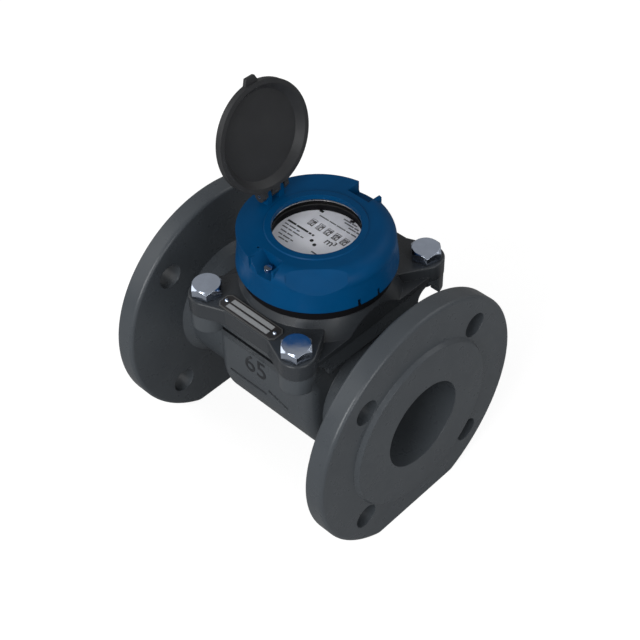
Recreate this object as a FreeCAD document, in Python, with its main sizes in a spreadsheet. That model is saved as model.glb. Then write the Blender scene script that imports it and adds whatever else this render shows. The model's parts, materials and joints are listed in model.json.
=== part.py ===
import FreeCAD, Part
import math
import os
import re

import Sketcher
from FreeCAD import Placement, Rotation, Vector

# A flanged water meter for a 65 mm main. X runs with the flow, Z is up, and the
# origin is on the floor midway between the flange faces. Lengths are in
# millimetres and angles in degrees.

SIZES = [
    # Pipe, flanges and feet
    ("face_to_face", 200, "between the two flange faces"),
    ("flange_diameter", 185, "flange of a 65 mm pipe at 16 bar"),
    ("flange_thickness", 15, "flange without its raised face"),
    ("flange_edge_round", 2.5, "rounding of the flange rims"),
    ("raised_face_diameter", 122, "sealing face"),
    ("raised_face_height", 3, "sealing face above the flange"),
    ("raised_face_ramp", 2, "slope at the edge of the sealing face"),
    ("bolt_circle", 145, "pipe bolts, across the circle"),
    ("flange_hole", 18, "pipe bolt holes"),
    ("bore_diameter", 65, "water way"),
    ("foot_drop", 82.5, "pipe axis above the flat feet of the flanges"),
    ("neck_diameter", 82, "outside of the two pipe necks"),
    ("neck_fillet", 5, "flare where a neck meets its flange"),
    # Barrel
    ("barrel_centre", 4, "middle of the barrel along X"),
    ("barrel_length", 89, "barrel along X"),
    ("barrel_width", 100, "barrel across, and the diameter of its round underside"),
    ("barrel_corner", 8, "rounding of the barrel's end edges"),
    ("barrel_wall", 8, "casting wall round the chamber"),
    ("chamber_corner", 12, "rounding of the chamber in plan"),
    ("slope_rise", 28, "pipe axis to where the sides begin to flare"),
    ("arrow_start", -29.5, "tail of the flow arrow along X"),
    ("arrow_length", 35, "straight stroke of the flow arrow"),
    ("arrow_width", 2.4, "width of its strokes"),
    ("arrow_depth", 1, "depth of its strokes"),
    ("arrow_drop", 1.7, "arrow below the pipe axis"),
    ("barb_start", 7.4, "start of the arrow's barb along X"),
    ("barb_rise", 4.6, "start of the barb above the pipe axis"),
    ("barb_length", 18.3, "barb of the arrow"),
    ("barb_lean", 16.6, "lean of the barb to the arrow"),
    # Head: the seat, the cover and its bolts
    ("head_offset", 7, "axis of the cover and register along X"),
    ("seat_rise", 63, "pipe axis to the seat of the cover"),
    ("bolt_reach_long", 40, "cover bolts from the head axis along X"),
    ("bolt_overhang", 10, "cover bolts outside the barrel along Y"),
    ("lobe_radius", 12.5, "cover round each bolt"),
    ("seam_step", 0.3, "body lobe set back from the cover lobe"),
    ("body_lobe_depth", 13, "body lobe below the seat"),
    ("lobe_side_turn", -25.8, "where a cover edge leaves its lobe, towards the end"),
    ("lobe_front_turn", 103.9, "where a cover edge leaves its lobe, towards the apron"),
    ("apron_overhang", 15, "front and back edges of the cover outside the barrel"),
    ("apron_straight", 38, "straight middle of those edges"),
    ("web_long", 38, "inner end of the lobe webs along X"),
    ("web_wide", 33, "inner end of the lobe webs along Y"),
    ("shoulder_reach", 50, "ends of the cover from the head axis along X"),
    ("shoulder_width", 124, "cover shoulder across"),
    ("shoulder_thickness", 4.5, "cover shoulder above the seat"),
    ("cover_thickness", 12.5, "cover lobes above the seat"),
    ("cover_edge_round", 1.2, "rounding of the cover's top edges"),
    ("boss_base_radius", 55, "tapered boss where it leaves the shoulder"),
    ("boss_top_radius", 48, "tapered boss at its top"),
    ("boss_height", 14.5, "tapered boss above the shoulder"),
    ("well_radius", 43.2, "well in the boss that holds the register"),
    ("well_floor", 6.5, "floor of the well above the seat"),
    ("well_opening", 20, "hole in the floor of the well"),
    ("bolt_clearance", 13.5, "bolt holes in the cover"),
    ("bolt_core", 10.2, "tapped holes in the body"),
    ("bolt_reach_down", 11.5, "bolt shank below the seat"),
    ("tapped_depth", 14, "tapped holes, through their lugs"),
    ("bolt_head", 7.5, "height of the hexagon heads"),
    ("bolt_flats", 19, "across the flats of the hexagon heads"),
    ("bolt_washer_face", 0.6, "turned face under the hexagon"),
    ("bolt_face_radius", 9, "turned faces over and under the hexagon"),
    ("bolt_flat_height", 4.5, "hexagon below its chamfer"),
    ("bolt_turn", 15, "first corner of the hexagons from X"),
    ("gasket_inset", 1.5, "gasket from the edge of the chamber"),
    ("gasket_width", 4, "width of the cover gasket"),
    ("gasket_thickness", 1.8, "thickness of the cover gasket"),
    # Name plate
    ("plate_length", 50, "name plate"),
    ("plate_width", 12, "name plate"),
    ("plate_thickness", 0.8, "name plate"),
    ("plate_inset", 7, "name plate centre inside the front edge of the cover"),
    ("plate_centre", -2.3, "name plate centre from the head axis along X"),
    ("plate_corner", 2.5, "cut corners of the name plate"),
    ("rivet_pitch", 43, "between the two rivets"),
    ("rivet_radius", 1.5, "rivet heads"),
    ("rivet_shank", 0.9, "rivet shanks"),
    ("rivet_depth", 4, "rivet shanks below the cover top"),
    # Water side: pressure plate, measuring insert and rotor
    ("lid_plate_radius", 22.5, "pressure plate"),
    ("lid_plate_thickness", 4, "pressure plate"),
    ("seal_section", 1.6, "section of the O-rings"),
    ("insert_flange_radius", 29.5, "top flange of the measuring insert"),
    ("insert_flange_thickness", 4, "top flange of the measuring insert"),
    ("insert_gap", 1.5, "measuring tube from each end of the chamber"),
    ("tube_outer_radius", 34, "outside of the measuring tube"),
    ("tube_bore_radius", 31.2, "bore of the measuring tube"),
    ("shaft_offset", 9, "upright shaft from the pipe axis along Y"),
    ("column_radius", 14, "column between tube and top flange"),
    ("column_sink", 2, "column into the wall of the tube"),
    ("magnet_well_radius", 11.5, "well for the driving magnet"),
    ("magnet_well_depth", 13, "well for the driving magnet"),
    ("gear_box_length", 19, "gear box in the water way along X"),
    ("gear_box_inner", 6, "gear box from the pipe axis towards -Y"),
    ("gear_box_outer", 18.5, "gear box from the pipe axis towards +Y"),
    ("gear_box_drop", 9, "gear box below the pipe axis"),
    ("gear_well_radius", 8, "well round the worm wheel"),
    ("worm_well_radius", 4.2, "tunnel round the worm"),
    ("wheel_room", 3, "room over and under the worm wheel"),
    ("shaft_room", 1, "room round the upright shaft"),
    ("insert_screw_circle", 26, "insert screws from the head axis"),
    ("insert_screw_count", 3, "insert screws"),
    ("insert_screw_turn", 30, "first insert screw from X"),
    ("screw_radius", 1.5, "insert screw shanks"),
    ("screw_head_radius", 2.8, "insert screw heads"),
    ("screw_head_height", 2.4, "insert screw heads"),
    ("screw_length", 8, "insert screw shanks"),
    ("hub_radius", 11, "hubs in the water way"),
    ("vane_thickness", 1.6, "fixed vanes"),
    ("vane_root", 0.5, "vanes and blades into their hub"),
    ("vane_setback", 1, "outlet vanes behind the face of their hub"),
    ("inlet_hub_gap", 1.5, "inlet hub from the rotor"),
    ("inlet_vanes", 6, "places for vanes round the inlet hub"),
    ("nose_length", 6, "nose cone of the inlet hub"),
    ("nose_radius", 4, "tip of the nose cone"),
    ("outlet_hub_start", 17.5, "outlet hub along X"),
    ("outlet_hub_length", 17, "outlet hub"),
    ("outlet_vanes", 4, "vanes round the outlet hub"),
    ("rotor_start", -19.5, "inlet end of the rotor"),
    ("rotor_length", 15.5, "rotor"),
    ("rotor_radius", 30.4, "tips of the rotor blades"),
    ("rotor_lead", 150, "travel of water for one turn"),
    ("rotor_blades", 6, "blades"),
    ("blade_steps", 6, "spans between the sections of a blade"),
    ("blade_thickness", 1.5, "blades"),
    ("rotor_shaft_radius", 1.5, "rotor shaft"),
    ("rotor_shaft_start", -24.8, "inlet end of the rotor shaft"),
    ("rotor_shaft_end", 21.3, "outlet end of the rotor shaft"),
    ("running_gap", 0.05, "clearance of a shaft in its bearing"),
    ("bearing_wall", 1.5, "wall of the bearing bushes"),
    ("bearing_length", 4, "bearing bushes"),
    ("worm_module", 0.8, "tooth size of the rotor's worm"),
    ("worm_radius", 2.6, "pitch radius of the rotor's worm"),
    ("worm_length", 12, "rotor's worm"),
    ("worm_backlash", 0.45, "play of the worm wheel's teeth"),
    ("wheel_teeth", 16, "teeth of the worm wheel"),
    ("wheel_width", 3, "worm wheel"),
    ("upright_radius", 1.5, "upright shaft"),
    ("magnet_radius", 10, "driving magnet"),
    ("magnet_height", 8, "driving magnet"),
    ("magnet_air_gap", 2, "driving magnet below the pressure plate"),
    ("regulator_place", -26, "regulating vane along X"),
    ("regulator_length", 9, "regulating vane along X"),
    ("regulator_stem", 1.5, "stem of the regulating vane"),
    ("regulator_gap", 1.2, "regulating vane from hub and tube"),
    ("regulator_height", 17, "regulating vane"),
    ("regulator_thickness", 1.2, "regulating vane"),
    ("regulator_foot", 3.5, "stem of the regulating vane into the inlet hub"),
    ("regulator_slot", 1.2, "screwdriver slot in the stem"),
    ("plug_radius", 4, "closing plug above the regulating vane"),
    # Register: case, movement and dial
    ("clamp_radius", 49.5, "clamp ring on the boss"),
    ("clamp_spigot_radius", 46.8, "part of the clamp ring inside the cap"),
    ("clamp_spigot_height", 6, "part of the clamp ring inside the cap"),
    ("case_radius", 43, "register case"),
    ("case_wall", 1.5, "register case"),
    ("case_height", 30, "register case"),
    ("base_thickness", 2, "movement base"),
    ("base_rise", 8.5, "movement base above the floor of the case"),
    ("base_skirt", 2.3, "skirt under the movement base"),
    ("fit_gap", 0.2, "loose fit of still parts"),
    ("coupling_gap", 0.8, "following magnet above the floor of the case"),
    ("coupling_height", 5.5, "following magnet"),
    ("spindle_radius", 1, "gear arbors"),
    ("spindle_boss", 3, "bosses round the arbors"),
    ("gear_module", 0.5, "tooth size of the spur gears"),
    ("pinion_teeth", 12, "pinions"),
    ("spur_teeth", 48, "spur wheels"),
    ("gear_width", 1.5, "spur wheels"),
    ("gear_backlash", 0.12, "play of the spur gears"),
    ("gear_air", 1, "space between the levels of the gear train"),
    ("bridge_thickness", 1.4, "bridge over the gear train"),
    ("bridge_length", 37, "bridge along X"),
    ("bridge_centre", 6, "bridge from the head axis along X"),
    ("bridge_back", 2.4, "back edge of the bridge from the head axis"),
    ("bridge_front", 21, "front edge of the bridge from the head axis"),
    ("post_radius", 1.8, "posts of the bridge"),
    ("counter_module", 0.7, "tooth size of the counter worm"),
    ("counter_worm_radius", 3.6, "pitch radius of the counter worm"),
    ("counter_worm_length", 7, "counter worm"),
    ("counter_teeth", 20, "teeth of the counter wheel"),
    ("counter_wheel_width", 2.4, "counter wheel"),
    ("counter_backlash", 0.4, "play of the counter wheel's teeth"),
    ("arbor_end", 1, "counter arbor above its worm"),
    ("counter_wheel_place", 20.5, "counter wheel from the head axis along X"),
    ("drum_radius", 7.8, "number drums"),
    ("drum_width", 5.6, "number drums"),
    ("drum_pitch", 7, "number drums, centre to centre"),
    ("drum_count", 5, "number drums"),
    ("drum_row", 10.6, "drum axis from the head axis along Y"),
    ("drum_hub_radius", 2.4, "hubs between the drums"),
    ("drum_clearance", 0.5, "drums below the dial plate"),
    ("drum_shaft_radius", 1, "drum shaft"),
    ("carry_radius", 1.8, "carry pinions"),
    ("carry_gap", 0.4, "carry pinions from the drum hubs"),
    ("carry_overlap", 1, "carry pinions longer than the gap between drums"),
    ("carry_turn", -36.87, "carry shaft round the drum shaft"),
    ("bracket_thickness", 1.5, "drum brackets"),
    ("bracket_gap", 1, "drum brackets from what turns"),
    ("bracket_back", 1, "drum brackets behind the carry pinions"),
    ("dial_rise", 22, "face of the dial above the movement base"),
    ("dial_radius", 32, "dial plate"),
    ("dial_thickness", 0.8, "dial plate"),
    ("dial_window_length", 3.8, "number windows along X"),
    ("dial_window_width", 5.6, "number windows along Y"),
    ("surround_bore", 29.6, "black surround of the dial"),
    ("surround_lip", 4.2, "surround above the dial"),
    ("surround_neck", 34, "upper part of the surround"),
    ("surround_step", 1.5, "shoulder of the surround below the dial"),
    ("dial_ledge", 0.8, "ledge under the rim of the dial"),
    ("ledge_depth", 3, "upright part under the ledge, and the slope below it"),
    ("surround_wall", 2.2, "skirt of the surround"),
    ("glass_radius", 31.6, "window glass"),
    ("glass_thickness", 2.6, "window glass"),
    ("glass_gasket", 1, "gasket under the glass"),
    ("rim_thickness", 0.8, "bright ring over the glass"),
    ("rim_outer", 34, "bright ring over the glass"),
    # Cap, seal screw and lid
    ("cap_radius", 52.3, "blue cap at its foot"),
    ("cap_shoulder_radius", 50.6, "blue cap under its shoulder"),
    ("cap_height", 26.5, "blue cap"),
    ("cap_shoulder_drop", 11.5, "shoulder below the top of the cap"),
    ("cap_shoulder_round", 10.5, "rounding of the shoulder"),
    ("cap_wall", 3, "wall of the cap"),
    ("cap_foot_wall", 4.6, "wall of the cap at its foot"),
    ("cap_inner_drop", 13, "inside of the cap, where it starts to lean in"),
    ("cap_rim_gap", 1.4, "cap above the bright ring"),
    ("cap_rim_room", 4, "inside of the cap, clear of the bright ring"),
    ("cap_ring_height", 0.8, "raised ring round the window"),
    ("cap_ring_radius", 32.6, "raised ring round the window"),
    ("cap_ring_ramp", 0.6, "slope round the raised ring"),
    ("window_radius", 28.5, "opening over the dial"),
    ("saddle_start", 101, "square-shouldered part of the cap, start angle"),
    ("saddle_end", 259, "square-shouldered part of the cap, end angle"),
    ("pocket_angle", -90, "pocket of the seal screw round the head axis, with its twin opposite"),
    ("pocket_reach", 9, "upright end of the pocket from its middle"),
    ("pocket_level", 2.2, "level floor of the pocket past its middle"),
    ("pocket_slope", 7.3, "sloped end of the pocket"),
    ("pocket_inner", 38, "inner wall of the pocket from the head axis"),
    ("pocket_floor", 8.7, "pocket floor below the top of the cap"),
    ("pocket_wall", 1.7, "walls and floor of the pocket"),
    ("pocket_edge", 1, "pocket walls inside the face of the cap"),
    ("seal_screw_radius", 2.6, "seal screw head"),
    ("seal_screw_height", 2.2, "seal screw head"),
    ("seal_screw_reach", 43.4, "seal screw from the head axis"),
    ("seal_screw_angle", -89.1, "seal screw round the head axis"),
    ("seal_screw_depth", 4, "seal screw shank"),
    ("seal_hole", 0.8, "hole across the seal screw"),
    ("wire_hole", 0.8, "hole for the seal wire in the top of the cap"),
    ("wire_reach", 40.9, "hole for the seal wire from the head axis"),
    ("wire_angle", -106.6, "hole for the seal wire round the head axis"),
    ("panel_angle", -46, "flat panel on the shoulder"),
    ("panel_width", 38, "flat panel on the shoulder"),
    ("panel_reach", 41, "top edge of the panel from the head axis"),
    ("panel_tilt", 37, "lean of the panel from upright"),
    ("panel_drop", 13, "height of the panel"),
    ("slot_width", 2.2, "slots in the foot of the cap"),
    ("slot_height", 4.5, "slots in the foot of the cap"),
    ("slot_angle_one", -16, "first slot round the head axis"),
    ("slot_angle_two", 1, "second slot round the head axis"),
    ("hinge_reach", 39.6, "hinge pin from the head axis"),
    ("hinge_rise", 6.6, "hinge pin above the top of the cap"),
    ("hinge_radius", 3.9, "hinge knuckles"),
    ("pin_radius", 1.2, "hinge pin"),
    ("middle_knuckle", 6.4, "middle knuckle of the lid"),
    ("cap_lug", 4.1, "each hinge lug of the cap"),
    ("outer_knuckle", 3.2, "outer knuckles of the lid"),
    ("hinge_gap", 0.15, "between knuckles and lugs"),
    ("lid_radius", 36.7, "lid"),
    ("lid_rest_gap", 0.3, "closed lid above the cap"),
    ("lid_edge", 4.6, "upright edge of the lid"),
    ("lid_height", 6.8, "lid at its middle"),
    ("lid_crown_inset", 3, "crown of the lid inside its rim"),
    ("lid_crown_rise", 0.9, "crown of the lid above its edge"),
    ("lid_crown_drop", 0.4, "crown of the lid half way out"),
    ("lid_rim", 3.2, "flat rim of the lid"),
    ("lid_recess", 4.6, "recess under the lid"),
    ("lid_recess_radius", 29.5, "flat floor of the recess"),
    ("lid_tab_width", 13, "finger tab at the rim"),
    ("lid_tab_tip", 7, "finger tab at its tip"),
    ("lid_tab_reach", 3.8, "finger tab beyond the rim"),
    ("lid_root", 3, "knuckles and tab into the rim of the lid"),
    ("lid_open_angle", 102, "lid as it stands open"),
    # Cutting tools run past the faces that they open
    ("run_past", 2, "length of a cut beyond the face"),
]

# Places that follow from the sizes
PLACES = [
    ("axis_height", "foot_drop"),
    ("bolt_face", "face_to_face / 2 - raised_face_height"),
    ("flange_back", "bolt_face - flange_thickness"),
    ("seat_height", "axis_height + seat_rise"),
    ("shoulder_height", "seat_height + shoulder_thickness"),
    ("cover_height", "seat_height + cover_thickness"),
    ("boss_height_top", "shoulder_height + boss_height"),
    ("well_height", "seat_height + well_floor"),
    ("bolt_reach_wide", "barrel_width / 2 + bolt_overhang"),
    ("apron_reach", "barrel_width / 2 + apron_overhang"),
    ("plate_setback", "apron_reach - plate_inset"),
    ("chamber_half_length", "barrel_length / 2 - barrel_wall"),
    ("chamber_half_width", "barrel_width / 2 - barrel_wall"),
    ("insert_start", "barrel_centre - chamber_half_length + insert_gap"),
    ("insert_end", "barrel_centre + chamber_half_length - insert_gap"),
    ("inlet_hub_length", "rotor_start - inlet_hub_gap - insert_start"),
    ("insert_top", "seat_height - insert_flange_thickness"),
    ("tube_top", "axis_height + tube_outer_radius"),
    ("magnet_top", "seat_height - magnet_air_gap"),
    ("magnet_bottom", "magnet_top - magnet_height"),
    ("gear_box_floor", "axis_height - gear_box_drop"),
    ("wheel_well_floor", "axis_height - wheel_width / 2 - wheel_room"),
    ("case_floor", "well_height + case_wall"),
    ("base_bottom", "case_floor + base_rise"),
    ("base_top", "base_bottom + base_thickness"),
    ("first_level", "base_top + gear_air"),
    ("second_level", "first_level + gear_width + gear_air"),
    ("bridge_height", "second_level + gear_width + gear_air"),
    ("dial_height", "base_top + dial_rise"),
    ("dial_under", "dial_height - dial_thickness"),
    ("drum_height", "dial_under - drum_clearance - drum_radius"),
    ("drum_span", "drum_pitch * (drum_count - 1) + drum_width"),
    ("bracket_left", "0 - drum_span / 2 - bracket_gap - bracket_thickness"),
    ("bracket_right", "counter_wheel_place + counter_wheel_width / 2 + bracket_gap"),
    ("gasket_height", "dial_height + surround_lip"),
    ("glass_height", "gasket_height + glass_gasket"),
    ("glass_top", "glass_height + glass_thickness"),
    ("cap_top", "glass_top + rim_thickness + cap_rim_gap + cap_wall"),
    ("cap_foot", "cap_top - cap_height"),
    ("clamp_height", "cap_foot - boss_height_top"),
    ("pin_place", "head_offset - hinge_reach"),
    ("pin_height", "cap_top + hinge_rise"),
    ("hinge_width", "middle_knuckle + 2 * cap_lug + 2 * outer_knuckle + 4 * hinge_gap"),
]

os.makedirs("parts", exist_ok=True)
doc = FreeCAD.newDocument("water_meter")
sheet = doc.addObject("Spreadsheet::Sheet", "sizes")
for row, (alias, number, note) in enumerate(SIZES, start=1):
    sheet.set(f"A{row}", alias)
    sheet.set(f"B{row}", str(number))
    sheet.set(f"C{row}", note)
    sheet.setAlias(f"B{row}", alias)
doc.recompute()

places = doc.addObject("App::VarSet", "places")
NUMBERS = {alias: float(sheet.get(alias)) for alias, number, note in SIZES}
PLACE_NAMES = {name for name, rule in PLACES}
WORD = re.compile(r"[a-z]+(?:_[a-z]+)*")
PIECES = []


def spell(rule):
    """Turn a rule in plain names into an expression of the document."""
    def whole_name(found):
        owner = "places" if found.group() in PLACE_NAMES else "sizes"
        return f"{owner}.{found.group()}"
    return WORD.sub(whole_name, str(rule))


def value(rule):
    """Work a rule in plain names out as a number."""
    text = WORD.sub(lambda found: f"({NUMBERS[found.group()]:.9f})", str(rule))
    return FreeCAD.Units.Quantity(text).Value


for name, rule in PLACES:
    places.addProperty("App::PropertyFloat", name)
    places.setExpression(name, spell(rule))
    NUMBERS[name] = value(rule)

# Two lengths closer than this count as one
CLOSE = 0.01

TURN = {
    "X": Rotation(Vector(0, 1, 0), 90),
    "Y": Rotation(Vector(1, 0, 0), -90),
    "Z": Rotation(),
}


def put(thing, x=0, y=0, z=0):
    """Bind where a thing stands."""
    for axis, rule in zip("xyz", (x, y, z)):
        thing.setExpression(f".Placement.Base.{axis}", spell(rule))
    return thing


def rod(radius, length, x=0, y=0, z=0, along="Z"):
    """A cylinder that starts at a point and runs along an axis."""
    thing = doc.addObject("Part::Cylinder", "rod")
    thing.Placement = Placement(Vector(), TURN[along])
    thing.setExpression("Radius", spell(radius))
    thing.setExpression("Height", spell(length))
    return put(thing, x, y, z)


def taper(start_radius, end_radius, length, x=0, y=0, z=0, along="Z"):
    """A cut cone that starts at a point and runs along an axis."""
    thing = doc.addObject("Part::Cone", "taper")
    thing.Placement = Placement(Vector(), TURN[along])
    thing.setExpression("Radius1", spell(start_radius))
    thing.setExpression("Radius2", spell(end_radius))
    thing.setExpression("Height", spell(length))
    return put(thing, x, y, z)


def block(long, wide, high, x=0, y=0, z=0):
    """A box centred on a point in plan, standing on its height."""
    thing = doc.addObject("Part::Box", "block")
    thing.setExpression("Length", spell(long))
    thing.setExpression("Width", spell(wide))
    thing.setExpression("Height", spell(high))
    return put(thing, f"{x} - ({long}) / 2", f"{y} - ({wide}) / 2", z)


def join(*things):
    """One solid from several that touch or overlap."""
    thing = doc.addObject("Part::MultiFuse", "join")
    thing.Shapes = list(things)
    thing.Refine = True
    return thing


def keep(*things):
    """What several solids share."""
    thing = doc.addObject("Part::MultiCommon", "keep")
    thing.Shapes = list(things)
    thing.Refine = True
    return thing


def cut(base, *tools):
    """A solid with others taken away."""
    thing = doc.addObject("Part::Cut", "cut")
    thing.Base = base
    thing.Tool = tools[0] if len(tools) == 1 else join(*tools)
    thing.Refine = True
    return thing


def tube(outer, inner, length, x=0, y=0, z=0, along="Z"):
    """A cylinder with a bore."""
    return cut(rod(outer, length, x, y, z, along), rod(inner, length, x, y, z, along))


def outline(body, plane, corners):
    """A closed sketch of straight lines with every corner bound to its rules."""
    sketch = body.newObject("Sketcher::SketchObject", "outline")
    support = next(item for item in body.Origin.OriginFeatures if item.Role == plane)
    sketch.AttachmentSupport = [(support, "")]
    sketch.MapMode = "FlatFace"
    points = [Vector(value(across), value(up), 0) for across, up in corners]
    for number, point in enumerate(points):
        sketch.addGeometry(Part.LineSegment(point, points[(number + 1) % len(points)]), False)
    for number in range(len(points)):
        follower = (number + 1) % len(points)
        sketch.addConstraint(Sketcher.Constraint("Coincident", number, 2, follower, 1))
    for number, rules in enumerate(corners):
        for kind, axis, rule in (("DistanceX", -2, rules[0]), ("DistanceY", -1, rules[1])):
            if str(rule) == "0":
                sketch.addConstraint(Sketcher.Constraint("PointOnObject", number, 1, axis))
                continue
            fixed = Sketcher.Constraint(kind, -1, 1, number, 1, value(rule))
            bound = sketch.addConstraint(fixed)
            sketch.setExpression(f"Constraints[{bound}]", spell(rule))
    return sketch


def turned(corners, x=0, y=0, z=0, along="Z"):
    """A turned solid from its half section, given as radius and height."""
    body = doc.addObject("PartDesign::Body", "turned")
    body.Placement = Placement(Vector(), TURN[along])
    sketch = outline(body, "XZ_Plane", corners)
    spin = body.newObject("PartDesign::Revolution", "spin")
    spin.Profile = sketch
    spin.ReferenceAxis = (sketch, ["V_Axis"])
    spin.Angle = 360
    return put(body, x, y, z)


def prism(corners, length, plane="XY_Plane", x=0, y=0, z=0):
    """A straight solid on an outline."""
    body = doc.addObject("PartDesign::Body", "prism")
    sketch = outline(body, plane, corners)
    pad = body.newObject("PartDesign::Pad", "pad")
    pad.Profile = sketch
    pad.setExpression("Length", spell(length))
    return put(body, x, y, z)


def soften(source, radius, wanted):
    """Round the edges of a solid that a test picks."""
    doc.recompute()
    body = doc.addObject("PartDesign::Body", "softened")
    body.BaseFeature = source
    body.Placement = source.Placement
    for path, rule in source.ExpressionEngine:
        if path.startswith(".Placement"):
            body.setExpression(path, rule)
    doc.recompute()
    start = body.Tip
    rounding = body.newObject("PartDesign::Fillet", "rounding")
    edges = enumerate(source.Shape.Edges, start=1)
    rounding.Base = (start, [f"Edge{number}" for number, edge in edges if wanted(edge)])
    rounding.setExpression("Radius", spell(radius))
    body.Tip = rounding
    return body


def solid(shape, x=0, y=0, z=0, along="Z", turn=0):
    """A shape made by formula, put in its place."""
    thing = doc.addObject("Part::Feature", "formed")
    thing.Shape = shape
    thing.Placement = Placement(Vector(), TURN[along] * Rotation(Vector(0, 0, 1), turn))
    return put(thing, x, y, z)


def piece(label, thing):
    """Name a finished sub-part."""
    thing.Label = label
    PIECES.append(thing)
    return thing


def at_radius(edge, rule):
    """Whether an edge is a circle of a certain radius."""
    return hasattr(edge.Curve, "Radius") and abs(edge.Curve.Radius - value(rule)) < CLOSE


def across_x(edge):
    """Whether an edge lies in a plane across X."""
    return edge.BoundBox.XLength < CLOSE


def at_height(edge, rule):
    """Whether an edge lies level at a height."""
    box = edge.BoundBox
    return box.ZLength < CLOSE and abs(box.ZMin - value(rule)) < CLOSE


# Body casting

def lobes(radius, height, z):
    """Upright cylinders round the four cover bolts."""
    return [
        rod(radius, height, f"head_offset + {side} * bolt_reach_long", f"{way} * bolt_reach_wide", z)
        for side in (-1, 1) for way in (-1, 1)
    ]


def pipe_holes():
    """The bolt holes of both flanges."""
    reach = f"bolt_circle / {2 * math.sqrt(2):.9f}"
    return [
        rod("flange_hole / 2", "face_to_face + 2 * run_past", "0 - face_to_face / 2 - run_past",
            f"{way} * {reach}", f"axis_height + {up} * {reach}", "X")
        for way in (-1, 1) for up in (-1, 1)
    ]


def flanges():
    """Both flanges with their sealing faces."""
    discs = join(
        rod("flange_diameter / 2", "flange_thickness", "0 - bolt_face", 0, "axis_height", "X"),
        rod("flange_diameter / 2", "flange_thickness", "flange_back", 0, "axis_height", "X"),
    )
    soft_discs = soften(discs, "flange_edge_round", lambda edge: at_radius(edge, "flange_diameter / 2"))
    face = "raised_face_diameter / 2"
    return [
        soft_discs,
        taper(face, f"{face} + raised_face_ramp", "raised_face_height",
              "0 - face_to_face / 2", 0, "axis_height", "X"),
        taper(f"{face} + raised_face_ramp", face, "raised_face_height",
              "bolt_face", 0, "axis_height", "X"),
    ]


def necks():
    """The pipe through the body, flared where it meets the flanges."""
    neck = "neck_diameter / 2"
    return [
        rod(neck, "2 * flange_back", "0 - flange_back", 0, "axis_height", "X"),
        taper(f"{neck} + neck_fillet", neck, "neck_fillet", "0 - flange_back", 0, "axis_height", "X"),
        taper(neck, f"{neck} + neck_fillet", "neck_fillet", "flange_back - neck_fillet", 0,
              "axis_height", "X"),
    ]


def barrel():
    """The U-shaped barrel whose sides flare out to the seat of the cover."""
    start = "barrel_centre - barrel_length / 2"
    half = "barrel_width / 2"
    flare = "axis_height + slope_rise"
    sides = prism([
        (f"0 - {half}", "axis_height"), (half, "axis_height"), (half, flare),
        ("apron_reach - seam_step", "seat_height"), ("0 - apron_reach + seam_step", "seat_height"),
        (f"0 - {half}", flare),
    ], "barrel_length", "YZ_Plane", x=start)
    whole = join(sides, rod(half, "barrel_length", start, 0, "axis_height", "X"))
    return soften(whole, "barrel_corner",
                  lambda edge: across_x(edge) and not at_height(edge, "seat_height"))


def rounded_well(grow, high, z):
    """An upright prism with the chamber's outline, grown all round."""
    long, wide, corner = (f"2 * (chamber_half_length + {grow})", f"2 * (chamber_half_width + {grow})",
                          f"chamber_corner + {grow}")
    sharp = block(long, wide, high, "barrel_centre", 0, z)
    return soften(sharp, corner, lambda edge: edge.BoundBox.ZLength > CLOSE)


def chamber():
    """The hollow that holds the measuring insert: a trough open to the top."""
    start = "barrel_centre - chamber_half_length"
    trough = join(
        rod("chamber_half_width", "2 * chamber_half_length", start, 0, "axis_height", "X"),
        block("2 * chamber_half_length", "2 * chamber_half_width", "seat_rise + run_past",
              "barrel_centre", 0, "axis_height"),
    )
    return keep(trough, rounded_well("0", "2 * seat_rise", "axis_height - chamber_half_width"))


def flow_arrow(way):
    """A stroke with one barb, cut into a side of the barrel."""
    face = f"{way} * (barrel_width / 2 - arrow_depth / 2 + run_past / 2)"
    deep = "arrow_depth + run_past"
    stroke = block("arrow_length", deep, "arrow_width", "arrow_start + arrow_length / 2", face,
                   "axis_height - arrow_drop - arrow_width / 2")
    barb = doc.addObject("Part::Box", "barb")
    for side, rule in (("Length", "barb_length"), ("Width", deep), ("Height", "arrow_width")):
        barb.setExpression(side, spell(rule))
    barb.Placement = Placement(Vector(), Rotation(Vector(0, 1, 0), value("barb_lean")))
    put(barb, "barb_start", f"{face} - ({deep}) / 2", "axis_height + barb_rise - arrow_width")
    return [stroke, barb]


def body_casting():
    """Cast body: flanges, necks, barrel and the seat of the cover in one piece."""
    pad_z = "seat_height - body_lobe_depth"
    pad = block("2 * (shoulder_reach - seam_step)", "barrel_width", "body_lobe_depth",
                "head_offset", 0, pad_z)
    lugs = lobes("lobe_radius - seam_step", "body_lobe_depth", pad_z)
    rough = join(*flanges(), *necks(), barrel(), pad, *lugs)
    floor = block("2 * face_to_face", "2 * flange_diameter", "flange_diameter", 0, 0, "0 - flange_diameter")
    way = rod("bore_diameter / 2", "face_to_face + 2 * run_past", "0 - face_to_face / 2 - run_past", 0,
              "axis_height", "X")
    rim = cut(rounded_well("gasket_inset + gasket_width", "gasket_thickness + run_past",
                           "seat_height - gasket_thickness"),
              rounded_well("gasket_inset", "gasket_thickness + run_past", "seat_height - gasket_thickness"))
    tapped = lobes("bolt_core / 2", "tapped_depth + run_past", "seat_height - tapped_depth")
    return cut(rough, floor, way, chamber(), rim, *tapped, *pipe_holes(), *flow_arrow(-1), *flow_arrow(1))


# Cover, bolts and name plate

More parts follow.
